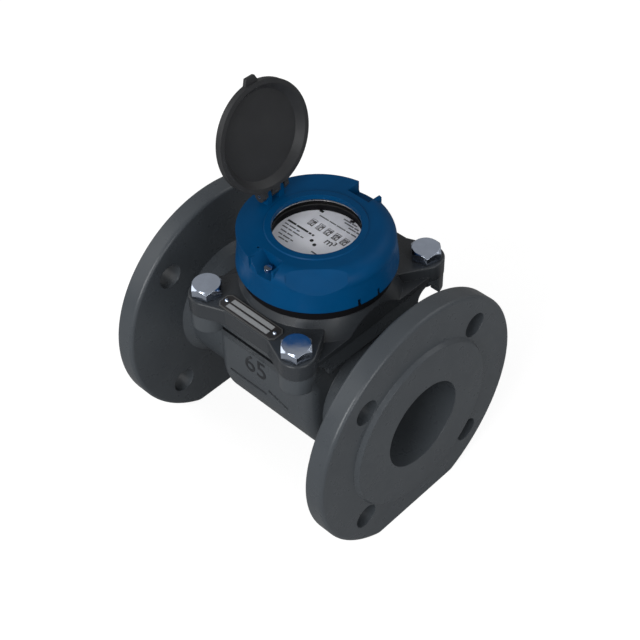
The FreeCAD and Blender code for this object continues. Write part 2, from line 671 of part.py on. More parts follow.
def cover_outline():
    """Corners of the thick part of the cover, from one lobe round to the next."""
    leaving = []
    for name in ("lobe_side_turn", "lobe_front_turn"):
        turn = math.radians(value(name))
        leaving.append((f"bolt_reach_long + {math.cos(turn):.4f} * lobe_radius",
                        f"bolt_reach_wide + {math.sin(turn):.4f} * lobe_radius"))
    quarter = [("web_long", "web_wide"), *leaving, ("apron_straight / 2", "apron_reach")]
    other = quarter[::-1]
    return ([(x, y) for x, y in quarter]
            + [(f"0 - ({x})", y) for x, y in other]
            + [(f"0 - ({x})", f"0 - ({y})") for x, y in quarter]
            + [(x, f"0 - ({y})") for x, y in other])


def cover_plate():
    """Cover: shoulder, lobed plate and tapered boss with the well for the register."""
    shoulder = block("2 * shoulder_reach", "shoulder_width", "shoulder_thickness",
                     "head_offset", 0, "seat_height")
    thick = join(prism(cover_outline(), "cover_thickness", "XY_Plane", "head_offset", 0, "seat_height"),
                 *lobes("lobe_radius", "cover_thickness", "seat_height"))
    soft = soften(thick, "cover_edge_round", lambda edge: at_height(edge, "cover_height"))
    boss = keep(
        taper("boss_base_radius", "boss_top_radius", "boss_height", "head_offset", 0, "shoulder_height"),
        block("2 * shoulder_reach", "4 * shoulder_reach", "boss_height", "head_offset", 0, "shoulder_height"),
    )
    well = rod("well_radius", "boss_height_top - well_height + run_past", "head_offset", 0, "well_height")
    opening = rod("well_opening", "well_floor + 2 * run_past", "head_offset", 0, "seat_height - run_past")
    seat = rod("lid_plate_radius + fit_gap", "lid_plate_thickness + run_past", "head_offset", 0,
               "seat_height - run_past")
    holes = lobes("bolt_clearance / 2", "cover_thickness + 2 * run_past", "seat_height - run_past")
    rivets = rivet_rods("rivet_shank", "cover_height - rivet_depth", "rivet_depth + run_past")
    plug = rod("plug_radius", "well_floor + 2 * run_past", "regulator_place", 0, "seat_height - run_past")
    screws = insert_screw_rods("screw_radius", "seat_height - run_past",
                               "run_past + screw_length - insert_flange_thickness")
    return cut(join(shoulder, soft, boss), well, opening, seat, plug, *holes, *rivets, *screws)


def cover_gasket():
    """Flat gasket in the recess round the chamber."""
    bottom = "seat_height - gasket_thickness"
    return cut(rounded_well("gasket_inset + gasket_width", "gasket_thickness", bottom),
               rounded_well("gasket_inset", "gasket_thickness", bottom))


def hexagon(flats, height):
    """A hexagonal prism of a size across its flats, standing on the origin."""
    sides = 6
    corners = []
    for step in range(sides + 1):
        turn = math.radians(360 * step / sides + value("bolt_turn"))
        corners.append(Vector(math.cos(turn), math.sin(turn), 0) * (flats / math.sqrt(3)))
    return Part.Face(Part.makePolygon(corners)).extrude(Vector(0, 0, height))


def cover_bolt(x, y):
    """One hexagon bolt with its chamfered head and its shank in the tapped hole."""
    flats, face, collar = value("bolt_flats"), value("bolt_face_radius"), value("bolt_washer_face")
    high = value("bolt_head") - collar
    ease = Part.makeCone(face + high, face, high)
    blank = hexagon(flats, high).common(ease.fuse(Part.makeCylinder(flats, value("bolt_flat_height"))))
    blank.translate(Vector(0, 0, collar))
    long = value("cover_thickness + bolt_reach_down")
    shank = Part.makeCylinder(value("bolt_core / 2"), long, Vector(0, 0, -long))
    shape = blank.fuse([Part.makeCylinder(face, collar), shank]).removeSplitter()
    shape.translate(Vector(x, y, value("cover_height")))
    return shape


def cover_bolts():
    """The four bolts that hold the cover."""
    bolts = [
        cover_bolt(value(f"head_offset + {side} * bolt_reach_long"), value(f"{way} * bolt_reach_wide"))
        for side in (-1, 1) for way in (-1, 1)
    ]
    thing = doc.addObject("Part::Feature", "bolts")
    thing.Shape = Part.makeCompound(bolts)
    return thing


def rivet_rods(radius, z, length):
    """Upright cylinders at the two rivets."""
    return [
        rod(radius, length, f"head_offset + plate_centre + {side} * rivet_pitch / 2",
            "0 - plate_setback", z)
        for side in (-1, 1)
    ]


def nameplate():
    """Thin plate with cut corners and two rivet holes."""
    long, wide, corner = "plate_length / 2", "plate_width / 2", "plate_corner"
    corners = [
        (long, f"0 - {wide} + {corner}"), (long, f"{wide} - {corner}"),
        (f"{long} - {corner}", wide), (f"{corner} - {long}", wide),
        (f"0 - {long}", f"{wide} - {corner}"), (f"0 - {long}", f"{corner} - {wide}"),
        (f"{corner} - {long}", f"0 - {wide}"), (f"{long} - {corner}", f"0 - {wide}"),
    ]
    sheet_metal = prism(corners, "plate_thickness", "XY_Plane", "head_offset + plate_centre",
                        "0 - plate_setback", "cover_height")
    return cut(sheet_metal, *rivet_rods("rivet_shank", "cover_height - run_past",
                                        "plate_thickness + 2 * run_past"))


def nameplate_rivets():
    """Two domed rivets through the name plate into the cover."""
    top = "cover_height + plate_thickness"
    heads = [
        join(shank, keep(doc_ball, slab))
        for shank, doc_ball, slab in zip(
            rivet_rods("rivet_shank", "cover_height - rivet_depth", "rivet_depth + plate_thickness"),
            rivet_balls(top), rivet_rods("rivet_radius + run_past", top, "rivet_radius"))
    ]
    thing = doc.addObject("Part::Compound", "rivets")
    thing.Links = heads
    return thing


def rivet_balls(z):
    """Balls centred on the plate's top, whose upper halves are the rivet heads."""
    balls = []
    for side in (-1, 1):
        ball = doc.addObject("Part::Sphere", "ball")
        ball.setExpression("Radius", spell("rivet_radius"))
        balls.append(put(ball, f"head_offset + plate_centre + {side} * rivet_pitch / 2",
                         "0 - plate_setback", z))
    return balls


# Pressure plate and measuring insert

def pressure_plate():
    """Plate that closes the water side under the register, with a groove for its ring."""
    disc = rod("lid_plate_radius", "lid_plate_thickness", "head_offset", 0, "seat_height")
    groove = tube("lid_plate_radius + run_past", "lid_plate_radius - seal_section", "seal_section",
                  "head_offset", 0, "seat_height + (lid_plate_thickness - seal_section) / 2")
    return cut(disc, groove)


def pressure_seal():
    """Ring in the groove of the pressure plate."""
    return tube("lid_plate_radius + fit_gap", "lid_plate_radius - seal_section", "seal_section",
                "head_offset", 0, "seat_height + (lid_plate_thickness - seal_section) / 2")


def insert_screw_rods(radius, z, length):
    """Upright cylinders at the three screws of the insert."""
    rods = []
    count = int(value("insert_screw_count"))
    for number in range(count):
        angle = math.radians(360 / count * number + value("insert_screw_turn"))
        rods.append(rod(radius, length, f"head_offset + {math.cos(angle):.6f} * insert_screw_circle",
                        f"{math.sin(angle):.6f} * insert_screw_circle", z))
    return rods


def insert_frame():
    """Measuring tube, gear box, column and top flange in one moulding."""
    span = "insert_end - insert_start"
    shell = rod("tube_outer_radius", span, "insert_start", 0, "axis_height", "X")
    water = rod("tube_bore_radius", f"{span} + 2 * run_past", "insert_start - run_past", 0,
                "axis_height", "X")
    box_wide = "gear_box_outer + gear_box_inner"
    gear_box = block("gear_box_length", box_wide, "gear_box_drop + tube_bore_radius", "head_offset",
                     "(gear_box_outer - gear_box_inner) / 2", "gear_box_floor")
    column = rod("column_radius", "insert_top - tube_top + column_sink + run_past", "head_offset",
                 "shaft_offset", "tube_top - column_sink")
    flange = rod("insert_flange_radius", "insert_flange_thickness", "head_offset", 0, "insert_top")
    magnet_well = rod("magnet_well_radius", "magnet_well_depth + run_past", "head_offset", "shaft_offset",
                      "seat_height - magnet_well_depth")
    bush_seat = rod("upright_radius + running_gap + bearing_wall", "bearing_length + run_past", "head_offset",
                    "shaft_offset", "seat_height - magnet_well_depth - bearing_length")
    shaft_way = rod("upright_radius + shaft_room", "seat_rise", "head_offset", "shaft_offset", "axis_height")
    wheel_well = rod("gear_well_radius", "wheel_width + 2 * wheel_room", "head_offset", "shaft_offset",
                     "wheel_well_floor")
    low_seat = rod("upright_radius + running_gap + bearing_wall", "bearing_length", "head_offset",
                   "shaft_offset", "wheel_well_floor - bearing_length")
    worm_way = rod("worm_well_radius", "gear_box_length + 2 * run_past",
                   "head_offset - gear_box_length / 2 - run_past", 0, "axis_height", "X")
    stem_way = rod("regulator_stem + running_gap", "tube_outer_radius", "regulator_place", 0,
                   "axis_height + run_past")
    screws = insert_screw_rods("screw_radius", "insert_top - run_past",
                               "insert_flange_thickness + 2 * run_past")
    return cut(join(cut(shell, water), gear_box, column, flange), magnet_well, bush_seat, shaft_way,
               wheel_well, low_seat, worm_way, stem_way, *screws)


def insert_screws():
    """Three screws that hang the insert from the cover."""
    heads = insert_screw_rods("screw_head_radius", "insert_top - screw_head_height", "screw_head_height")
    shanks = insert_screw_rods("screw_radius", "insert_top", "screw_length")
    thing = doc.addObject("Part::Compound", "insert_screws")
    thing.Links = [join(head, shank) for head, shank in zip(heads, shanks)]
    return thing


def fixed_vanes(count, start, length, skip=()):
    """Radial plates between hub and tube, at equal angles from straight up."""
    vanes = []
    root, thick = value("hub_radius - vane_root"), value("vane_thickness")
    high = value("tube_bore_radius") - root
    for number in range(count):
        if number in skip:
            continue
        plate = Part.makeBox(value(length), thick, high, Vector(0, -thick / 2, root))
        plate.rotate(Vector(), Vector(1, 0, 0), 360 / count * number)
        vanes.append(plate)
    round_bore = Part.makeCylinder(value("tube_bore_radius"), value(length), Vector(), Vector(1, 0, 0))
    return solid(Part.makeCompound(vanes).common(round_bore), start, 0, "axis_height")


def inlet_straightener():
    """Inlet hub with its nose, its fixed vanes and the seat of the front bearing."""
    hub = rod("hub_radius", "inlet_hub_length", "insert_start", 0, "axis_height", "X")
    nose = taper("nose_radius", "hub_radius", "nose_length", "insert_start - nose_length", 0,
                 "axis_height", "X")
    vanes = fixed_vanes(int(value("inlet_vanes")), "insert_start", "inlet_hub_length", skip=(0,))
    seat = rod("rotor_shaft_radius + running_gap + bearing_wall", "bearing_length + run_past",
               "insert_start + inlet_hub_length - bearing_length", 0, "axis_height", "X")
    foot = rod("regulator_stem + running_gap", "hub_radius", "regulator_place", 0,
               "axis_height + hub_radius - regulator_foot - fit_gap")
    return cut(join(hub, nose, vanes), seat, foot)


def bearing_carrier():
    """Outlet hub with its tail, its vanes and the seat of the rear bearing."""
    hub = rod("hub_radius", "outlet_hub_length", "outlet_hub_start", 0, "axis_height", "X")
    tail = taper("hub_radius", "nose_radius", "insert_end - outlet_hub_start - outlet_hub_length",
                 "outlet_hub_start + outlet_hub_length", 0, "axis_height", "X")
    vanes = fixed_vanes(int(value("outlet_vanes")), "outlet_hub_start + vane_setback",
                        "outlet_hub_length - vane_setback")
    seat = rod("rotor_shaft_radius + running_gap + bearing_wall", "bearing_length + run_past",
               "outlet_hub_start - run_past", 0, "axis_height", "X")
    return cut(join(hub, tail, vanes), seat)


def bush(shaft, x=0, y=0, z=0, along="Z"):
    """A bearing bush round a shaft."""
    return tube(f"{shaft} + running_gap + bearing_wall", f"{shaft} + running_gap", "bearing_length",
                x, y, z, along)


def blade(angle):
    """One helical blade, drawn as sections across the rotor axis."""
    sections = []
    steps = int(value("blade_steps"))
    inner, outer, half = value("hub_radius - vane_root"), value("rotor_radius"), value("blade_thickness / 2")
    for step in range(steps + 1):
        along = value("rotor_length") * step / steps
        turn = math.radians(angle + 360 * along / value("rotor_lead"))
        out, side = Vector(0, math.cos(turn), math.sin(turn)), Vector(0, -math.sin(turn), math.cos(turn))
        middle = Vector(along, 0, 0)
        corners = [middle + out * reach + side * shift
                   for reach, shift in ((inner, -half), (outer, -half), (outer, half), (inner, half))]
        sections.append(Part.makePolygon(corners + corners[:1]))
    return Part.makeLoft(sections, True, True)


def rotor():
    """Helical rotor on its hub."""
    count = int(value("rotor_blades"))
    blades = solid(Part.makeCompound([blade(360 / count * number) for number in range(count)]),
                   "rotor_start", 0, "axis_height")
    hub = rod("hub_radius", "rotor_length", "rotor_start", 0, "axis_height", "X")
    hole = rod("rotor_shaft_radius", "rotor_length + 2 * run_past", "rotor_start - run_past", 0,
               "axis_height", "X")
    return cut(join(hub, blades), hole)


# Tooth proportions, as shares of the module, of the worm's pitch and of a circle
ADDENDUM, WORM_DEDENDUM, WHEEL_DEDENDUM, THREAD_SINK = 0.85, 1.1, 1.2, 0.15
THREAD_FOOT, THREAD_CREST = 0.62, 0.28
PRESSURE_ANGLE = math.radians(20)


def helical_worm(module, pitch_radius, length, bore, start_angle):
    """A single-start right-hand worm along Z, its thread centred at start_angle at z = 0."""
    pitch = math.pi * module
    root, tip = pitch_radius - WORM_DEDENDUM * module, pitch_radius + ADDENDUM * module
    low, high = THREAD_FOOT * pitch / 2, THREAD_CREST * pitch / 2
    thread_height = length + 2 * pitch
    helix = Part.makeHelix(pitch, thread_height, pitch_radius)
    inside = root - THREAD_SINK * module
    section = Part.makePolygon([
        Vector(inside, 0, -low), Vector(tip, 0, -high), Vector(tip, 0, high), Vector(inside, 0, low),
        Vector(inside, 0, -low),
    ])
    thread = Part.Wire([helix]).makePipeShell([section], True, True)
    turns_down = math.ceil(thread_height / 2 / pitch)
    thread.translate(Vector(0, 0, -turns_down * pitch))
    thread.rotate(Vector(), Vector(0, 0, 1), start_angle)
    core = Part.makeCylinder(root, length, Vector(0, 0, -length / 2))
    trim = Part.makeCylinder(tip + 1, length, Vector(0, 0, -length / 2))
    hole = Part.makeCylinder(bore, length, Vector(0, 0, -length / 2))
    return core.fuse(thread.common(trim)).cut(hole).removeSplitter()


def gear(teeth, module, width, bore, backlash="gear_backlash"):
    """A spur gear along Z with a tooth centred on +X, its flanks part of an involute."""
    pitch_radius = teeth * module / 2
    base = pitch_radius * math.cos(PRESSURE_ANGLE)
    root, tip = pitch_radius - WHEEL_DEDENDUM * module, pitch_radius + ADDENDUM * module
    thick = math.pi * module / 2 - value(backlash)

    def half_angle(radius):
        lean = math.acos(min(1, base / max(radius, base)))
        spread = math.tan(PRESSURE_ANGLE) - PRESSURE_ANGLE - math.tan(lean) + lean
        return thick / (2 * pitch_radius) + spread

    radii = [root, max(root, base), pitch_radius, tip]
    points = []
    for tooth in range(teeth):
        middle = 2 * math.pi * tooth / teeth
        flank = [(radius, middle - half_angle(radius)) for radius in radii]
        flank += [(radius, middle + half_angle(radius)) for radius in reversed(radii)]
        points += [Vector(radius * math.cos(turn), radius * math.sin(turn), 0) for radius, turn in flank]
    face = Part.Face(Part.makePolygon(points + points[:1]))
    blank = face.extrude(Vector(0, 0, width))
    return blank.cut(Part.makeCylinder(bore, width)) if bore else blank


def worm_drive():
    """The rotor's worm and the worm wheel on the upright shaft."""
    thread = helical_worm(value("worm_module"), value("worm_radius"), value("worm_length"),
                          value("rotor_shaft_radius"), 90)
    worm = solid(thread, "head_offset", 0, "axis_height", "X")
    teeth = int(value("wheel_teeth"))
    toothed = gear(teeth, value("worm_module"), value("wheel_width"), value("upright_radius"),
                   "worm_backlash")
    wheel = solid(toothed, "head_offset", "shaft_offset", "axis_height - wheel_width / 2", "Z",
                  -90 + 180 / teeth)
    return worm, wheel


def regulating_vane():
    """Plate in the inlet whose stem is turned from the cover to set the meter."""
    hub_top = "axis_height + hub_radius"
    plate = block("regulator_length", "regulator_thickness", "regulator_height", "regulator_place", 0,
                  f"{hub_top} + regulator_gap")
    stem = rod("regulator_stem", f"seat_height - fit_gap - ({hub_top} - regulator_foot)",
               "regulator_place", 0, f"{hub_top} - regulator_foot")
    slot = block("4 * regulator_stem", "regulator_stem / 2", "run_past", "regulator_place", 0,
                 "seat_height - regulator_slot")
    return cut(join(plate, stem), slot)


# Register

def clamp_ring():
    """Dark ring that holds the register on the boss and carries the cap."""
    profile = [
        ("well_radius", "0"), ("clamp_radius", "0"), ("clamp_radius", "clamp_height"),
        ("clamp_spigot_radius", "clamp_height"),
        ("clamp_spigot_radius", "clamp_height + clamp_spigot_height"),
        ("well_radius", "clamp_height + clamp_spigot_height"),
    ]
    return turned(profile, "head_offset", 0, "boss_height_top")


def register_case():
    """Cup that seals the movement."""
    inner = "case_radius - case_wall"
    profile = [
        ("0", "0"), ("case_radius", "0"), ("case_radius", "case_height"), (inner, "case_height"),
        (inner, "case_wall"), ("0", "case_wall"),
    ]
    return turned(profile, "head_offset", 0, "well_height")


def follower_place():
    """Plan position of the following magnet, above the driving one."""
    return value("head_offset"), value("shaft_offset")


def counter_arbor_place():
    """Plan position of the arbor that drives the counter."""
    reach = value("counter_worm_radius + counter_teeth * counter_module / 2")
    return value("head_offset + counter_wheel_place"), value("drum_row") - reach


def middle_arbor_place():
    """Plan position of the middle arbor, in mesh with both its neighbours."""
    first, last = follower_place(), counter_arbor_place()
    leg = value("gear_module * (pinion_teeth + spur_teeth) / 2")
    across, up = last[0] - first[0], last[1] - first[1]
    base = math.hypot(across, up)
    rise = math.sqrt(leg ** 2 - (base / 2) ** 2)
    return ((first[0] + last[0]) / 2 + up / base * rise, (first[1] + last[1]) / 2 - across / base * rise)


def upright(shape, place, z, turn=0):
    """A shape on an upright arbor at a plan position."""
    return solid(shape, f"{place[0]:.6f}", f"{place[1]:.6f}", z, "Z", turn)


def bearing_angle(start, end):
    """Direction in plan from one arbor to another."""
    return math.degrees(math.atan2(end[1] - start[1], end[0] - start[0]))


def movement_base():
    """Plate with a skirt that stands in the case and carries the gear arbors."""
    outer = "case_radius - case_wall - fit_gap"
    profile = [
        ("0", "base_rise"), (f"{outer} - base_skirt", "base_rise"), (f"{outer} - base_skirt", "0"),
        (outer, "0"), (outer, "base_rise + base_thickness"), ("0", "base_rise + base_thickness"),
    ]
    plate = turned(profile, "head_offset", 0, "case_floor")
    drill = Part.makeCylinder(value("spindle_radius + running_gap"), value("3 * base_rise"))
    holes = [upright(drill.copy(), place, "case_floor")
             for place in (follower_place(), middle_arbor_place(), counter_arbor_place())]
    return cut(plate, *holes)


def coupling_magnet():
    """Magnet that follows the driving one through the pressure plate."""
    return tube("magnet_radius", "spindle_radius", "coupling_height", "head_offset", "shaft_offset",
                "case_floor + coupling_gap")


def coupling_spindle():
    """Spindle of the following magnet with the first pinion."""
    pinion = gear(int(value("pinion_teeth")), value("gear_module"), value("gear_width"), 0)
    toward = bearing_angle(follower_place(), middle_arbor_place())
    low, high = "case_floor + coupling_gap", "first_level + gear_width"
    stalk = Part.makeCylinder(value("spindle_radius"), value(f"{high} - ({low})"))
    return join(upright(stalk, follower_place(), low),
                upright(pinion, follower_place(), "first_level", toward))


def arbor(place, wheel_z, driver, pinion_z, target, top):
    """A wheel and a pinion on one arbor, each turned to mesh with its neighbour."""
    teeth, small = int(value("spur_teeth")), int(value("pinion_teeth"))
    wheel = gear(teeth, value("gear_module"), value("gear_width"), 0)
    facing = bearing_angle(place, driver) + 180 / teeth
    parts = [upright(wheel, place, wheel_z, facing)]
    if target:
        pinion = gear(small, value("gear_module"), value("gear_width + gear_air"), 0)
        parts.append(upright(pinion, place, pinion_z, bearing_angle(place, target)))
    stalk = Part.makeCylinder(value("spindle_radius"), value(f"{top} - base_bottom"))
    parts.append(upright(stalk, place, "base_bottom"))
    return join(*parts)


def middle_gear():
    """Arbor between the magnet's pinion and the counter's arbor."""
    return arbor(middle_arbor_place(), "first_level", follower_place(), "first_level + gear_width",
                 counter_arbor_place(), "bridge_height + bridge_thickness")


def counter_gear():
    """Arbor that carries the worm of the counter."""
    return arbor(counter_arbor_place(), "second_level", middle_arbor_place(), None, None,
                 "drum_height + counter_worm_length / 2 + arbor_end")


def counter_worm():
    """Worm on the counter's arbor."""
    place = counter_arbor_place()
    thread = helical_worm(value("counter_module"), value("counter_worm_radius"), value("counter_worm_length"),
                          value("spindle_radius"), 90)
    return upright(thread, place, "drum_height")


def counter_wheel():
    """Worm wheel on the drum shaft, fixed to the first drum by its hub."""
    teeth = int(value("counter_teeth"))
    rim = gear(teeth, value("counter_module"), value("counter_wheel_width"),
               value("drum_shaft_radius + running_gap"), "counter_backlash")
    wheel = solid(rim, "head_offset + counter_wheel_place - counter_wheel_width / 2", "drum_row",
                  "drum_height", "X", -90 + 180 / teeth)
    start = "drum_pitch * (drum_count - 1) / 2 + drum_width / 2"
    hub = tube("drum_hub_radius", "drum_shaft_radius + running_gap",
               f"counter_wheel_place - counter_wheel_width / 2 - ({start})",
               f"head_offset + {start}", "drum_row", "drum_height", "X")
    return join(wheel, hub)


def number_drum(order):
    """One number drum; order 0 is the units, at the right-hand end."""
    centre = f"head_offset + drum_pitch * ((drum_count - 1) / 2 - {order})"
    rim = tube("drum_radius", "drum_shaft_radius + running_gap", "drum_width",
               f"{centre} - drum_width / 2", "drum_row", "drum_height", "X")
    if order == int(value("drum_count")) - 1:
        return rim
    gap = "drum_pitch - drum_width - 2 * running_gap"
    hub = tube("drum_hub_radius", "drum_shaft_radius + running_gap", gap,
               f"{centre} - drum_width / 2 - ({gap})", "drum_row", "drum_height", "X")
    return join(rim, hub)


def drum_shaft():
    """Shaft between the two brackets."""
    return rod("drum_shaft_radius", "bracket_right - bracket_left + bracket_thickness",
               "head_offset + bracket_left", "drum_row", "drum_height", "X")


def carry_place():
    """Rules for the carry shaft, behind and below the drum shaft."""
    away, turn = "(drum_radius + carry_radius + carry_gap)", math.radians(value("carry_turn"))
    return (f"drum_row + {math.cos(turn):.6f} * {away}", f"drum_height + {math.sin(turn):.6f} * {away}")


def carry_shaft():
    """Shaft of the carry pinions."""
    back, level = carry_place()
    return rod("carry_radius / 2", "bracket_right - bracket_left + bracket_thickness",
               "head_offset + bracket_left", back, level, "X")


def carry_pinions():
    """Small pinions on the carry shaft, one at each gap between two drums."""
    back, level = carry_place()
    gaps = int(value("drum_count")) - 1
    long = "(drum_pitch - drum_width + carry_overlap)"
    thing = doc.addObject("Part::Compound", "carry")
    thing.Links = [
        tube("carry_radius", "carry_radius / 2", long,
             f"head_offset + drum_pitch * ({number} - {gaps - 1} / 2) - {long} / 2", back, level, "X")
        for number in range(gaps)
    ]
    return thing


def drum_bracket(side):
    """Upright plate that holds an end of the drum shaft and of the carry shaft."""
    back, level = carry_place()
    front = "0 - spindle_boss"
    high = "drum_height + spindle_boss"
    place = f"head_offset + {side} + bracket_thickness / 2"
    foot_front = f"{back} - carry_radius"
    foot_back = f"{back} + carry_radius + bracket_back"
    foot = block("bracket_thickness", f"{foot_back} - ({foot_front})", f"{high} - base_top", place,
                 f"({foot_back} + {foot_front}) / 2", "base_top")
    arm = block("bracket_thickness", f"{foot_back} - drum_row - ({front})", "2 * spindle_boss", place,
                f"({foot_back} + drum_row + {front}) / 2", "drum_height - spindle_boss")
    start = f"head_offset + {side} - run_past"
    long = "bracket_thickness + 2 * run_past"
    return cut(join(foot, arm), rod("drum_shaft_radius", long, start, "drum_row", "drum_height", "X"),
               rod("carry_radius / 2", long, start, back, level, "X"))


def gear_bridge():
    """Bridge over the gear train, on two posts."""
    wide = "bridge_front + bridge_back"
    plate = block("bridge_length", wide, "bridge_thickness", "head_offset + bridge_centre",
                  "(bridge_back - bridge_front) / 2", "bridge_height")
    posts = [
        rod("post_radius", "bridge_height - base_top",
            f"head_offset + bridge_centre + {side} * (bridge_length / 2 - post_radius)",
            "post_radius - bridge_front", "base_top")
        for side in (-1, 1)
    ]
    drill = Part.makeCylinder(value("spindle_radius + running_gap"), value("bridge_thickness + 2 * run_past"))
    holes = [upright(drill.copy(), place, "bridge_height - run_past")
             for place in (middle_arbor_place(), counter_arbor_place())]
    return cut(join(plate, *posts), *holes)


def dial_plate():
    """Dial with a window over each drum."""
    disc = rod("dial_radius", "dial_thickness", "head_offset", 0, "dial_under")
    windows = [
        block("dial_window_length", "dial_window_width", "dial_thickness + 2 * run_past",
              f"head_offset + drum_pitch * ({number} - (drum_count - 1) / 2)", "drum_row",
              "dial_under - run_past")
        for number in range(int(value("drum_count")))
    ]
    return cut(disc, *windows)


def dial_surround():
    """Black ring that stands on the movement base, holds the dial and seats the glass."""
    outer = "case_radius - case_wall - fit_gap"
    inner, ledge = f"{outer} - surround_wall", "dial_radius - dial_ledge"
    glass_hole, dial_hole = "glass_radius + fit_gap", "dial_radius + fit_gap"
    corners = [
        (outer, "base_top"), (outer, "dial_under - surround_step"),
        ("surround_neck", "dial_under - surround_step"), ("surround_neck", "glass_top"),
        (glass_hole, "glass_top"), (glass_hole, "gasket_height"), ("surround_bore", "gasket_height"),
        ("surround_bore", "dial_height"), (dial_hole, "dial_height"), (dial_hole, "dial_under"),
        (ledge, "dial_under"), (ledge, "dial_under - ledge_depth"),
        (inner, "dial_under - 2 * ledge_depth"), (inner, "base_top"),
    ]
    profile = [(radius, "0" if level == "base_top" else f"{level} - base_top") for radius, level in corners]
    return turned(profile, "head_offset", 0, "base_top")


def window_glass():
    """Glass over the dial."""
    return rod("glass_radius", "glass_thickness", "head_offset", 0, "glass_height")


def glass_gasket():
    """Gasket under the glass."""
    return tube("glass_radius", "surround_bore", "glass_gasket", "head_offset", 0, "gasket_height")


def retaining_ring():
    """Bright ring that holds the glass down."""
    return tube("rim_outer", "surround_bore", "rim_thickness", "head_offset", 0, "glass_top")


# Cap, seal screw and lid

def cap_blank():
    """The cap as a plain turned cup with a window and a raised ring."""
    top, under, inner = "cap_height", "cap_height - cap_wall", "cap_radius - cap_foot_wall"
    profile = [
        (inner, "0"), ("cap_radius", "0"), ("cap_shoulder_radius", f"{top} - cap_shoulder_drop"),
        ("cap_shoulder_radius", top), ("cap_ring_radius + cap_ring_ramp", top),
        ("cap_ring_radius", f"{top} + cap_ring_height"), ("window_radius", f"{top} + cap_ring_height"),
        ("window_radius", under), ("rim_outer + cap_rim_room", under), (inner, f"{top} - cap_inner_drop"),
    ]
    return turned(profile, "head_offset", 0, "cap_foot")


def radial_block(angle, start, length, wide, high, z):
    """A block that runs outwards from the head axis at an angle."""
    shape = Part.makeBox(value(length), value(wide), value(high), Vector(value(start), -value(wide) / 2, 0))
    return solid(shape, "head_offset", 0, z, "Z", value(angle))


def head_rod(radius, reach, angle, z, length):
    """An upright cylinder at a distance and an angle from the head axis."""
    shape = Part.makeCylinder(value(radius), value(length), Vector(value(reach), 0, 0))
    return solid(shape, "head_offset", 0, z, "Z", value(angle))


def saddle():
    """The sector of the cap that keeps its square shoulder, round the hinge."""
    sector = Part.makeCylinder(value("2 * cap_radius"), value("cap_height + run_past"), Vector(),
                               Vector(0, 0, 1), value("saddle_end - saddle_start"))
    return solid(sector, "head_offset", 0, "cap_foot", "Z", value("saddle_start"))


def panel_cut():
    """A tilted block that leaves the flat panel on the shoulder."""
    wide, drop, reach = value("panel_width"), value("panel_drop"), value("panel_reach")
    size = 3 * drop
    shape = Part.makeBox(size, wide, size, Vector(0, -wide / 2, -size / 2))
    shape.rotate(Vector(), Vector(0, 1, 0), -value("panel_tilt"))
    shape.translate(Vector(reach, 0, 0))
    level = Part.makeBox(size, wide, 2 * drop, Vector(reach - drop, -wide / 2, -drop))
    return solid(shape.common(level), "head_offset", 0, "cap_top", "Z", value("panel_angle"))


def pocket(turn):
    """Cutter of a pocket: upright at one end, level in the middle, sloped at the other."""
    high = value("pocket_floor + run_past")
    slope_end = -value("pocket_level") - high * value("pocket_slope / pocket_floor")
    corners = [
        Vector(0, value("pocket_reach"), 0), Vector(0, value("pocket_reach"), high),
        Vector(0, slope_end, high), Vector(0, -value("pocket_level"), 0),
    ]
    section = Part.Face(Part.makePolygon(corners + corners[:1]))
    section.translate(Vector(value("pocket_inner"), 0, 0))
    return solid(section.extrude(Vector(value("cap_radius"), 0, 0)), "head_offset", 0,
                 "cap_top - pocket_floor", "Z", value("pocket_angle") + turn)


def pocket_walls(turn):
    """The solid that a pocket is cut from."""
    inset, end = "pocket_wall", "pocket_level + pocket_slope"
    start = "pocket_inner - pocket_wall"
    shape = Part.makeBox(
        value(f"cap_shoulder_radius - pocket_edge - ({start})"),
        value(f"pocket_reach + {end} + 2 * {inset}"),
        value(f"pocket_floor + {inset} - pocket_edge"),
        Vector(value(start), -value(f"{end} + {inset}"), 0),
    )
    inside = Part.makeCylinder(value("cap_shoulder_radius - pocket_edge"), value("cap_height"))
    return solid(shape.common(inside), "head_offset", 0, f"cap_top - pocket_floor - {inset}", "Z",
                 value("pocket_angle") + turn)


def hinge_rod(radius, centre, wide):
    """A cylinder on the hinge axis, centred at a distance along Y."""
    return rod(radius, wide, "pin_place", f"{centre} - ({wide}) / 2", "pin_height", "Y")


def cap_lug_place(side):
    """Centre of a cap lug along Y."""
    return f"{side} * (middle_knuckle / 2 + hinge_gap + cap_lug / 2)"


def register_cap():
    """Blue cap: round shoulder, square saddle at the hinge, pockets, panel, slots and hinge lugs."""
    soft = soften(cap_blank(), "cap_shoulder_round",
                  lambda edge: at_radius(edge, "cap_shoulder_radius") and at_height(edge, "cap_top"))
    square = keep(cap_blank(), saddle())
    lugs = []
    for side in (-1, 1):
        lugs.append(hinge_rod("hinge_radius", cap_lug_place(side), "cap_lug"))
        lugs.append(block("2 * hinge_radius", "cap_lug", "hinge_rise + cap_wall / 2", "pin_place",
                          cap_lug_place(side), "cap_top - cap_wall / 2"))
    slots = [
        radial_block(angle, "cap_radius - 2 * cap_wall", "cap_radius", "slot_width",
                     "slot_height + run_past", "cap_foot - run_past")
        for angle in ("slot_angle_one", "slot_angle_two")
    ]
    thread = head_rod("seal_screw_radius / 2", "seal_screw_reach", "seal_screw_angle",
                      "cap_top - pocket_floor - seal_screw_depth", "seal_screw_depth + run_past")
    wire = head_rod("wire_hole", "wire_reach", "wire_angle", "cap_top - cap_wall - run_past",
                    "cap_wall + 2 * run_past")
    shell = join(soft, square, pocket_walls(0), pocket_walls(180), *lugs)
    return cut(shell, pocket(0), pocket(180), panel_cut(), thread, wire, *slots,
               hinge_rod("pin_radius", "0", "2 * hinge_width"))


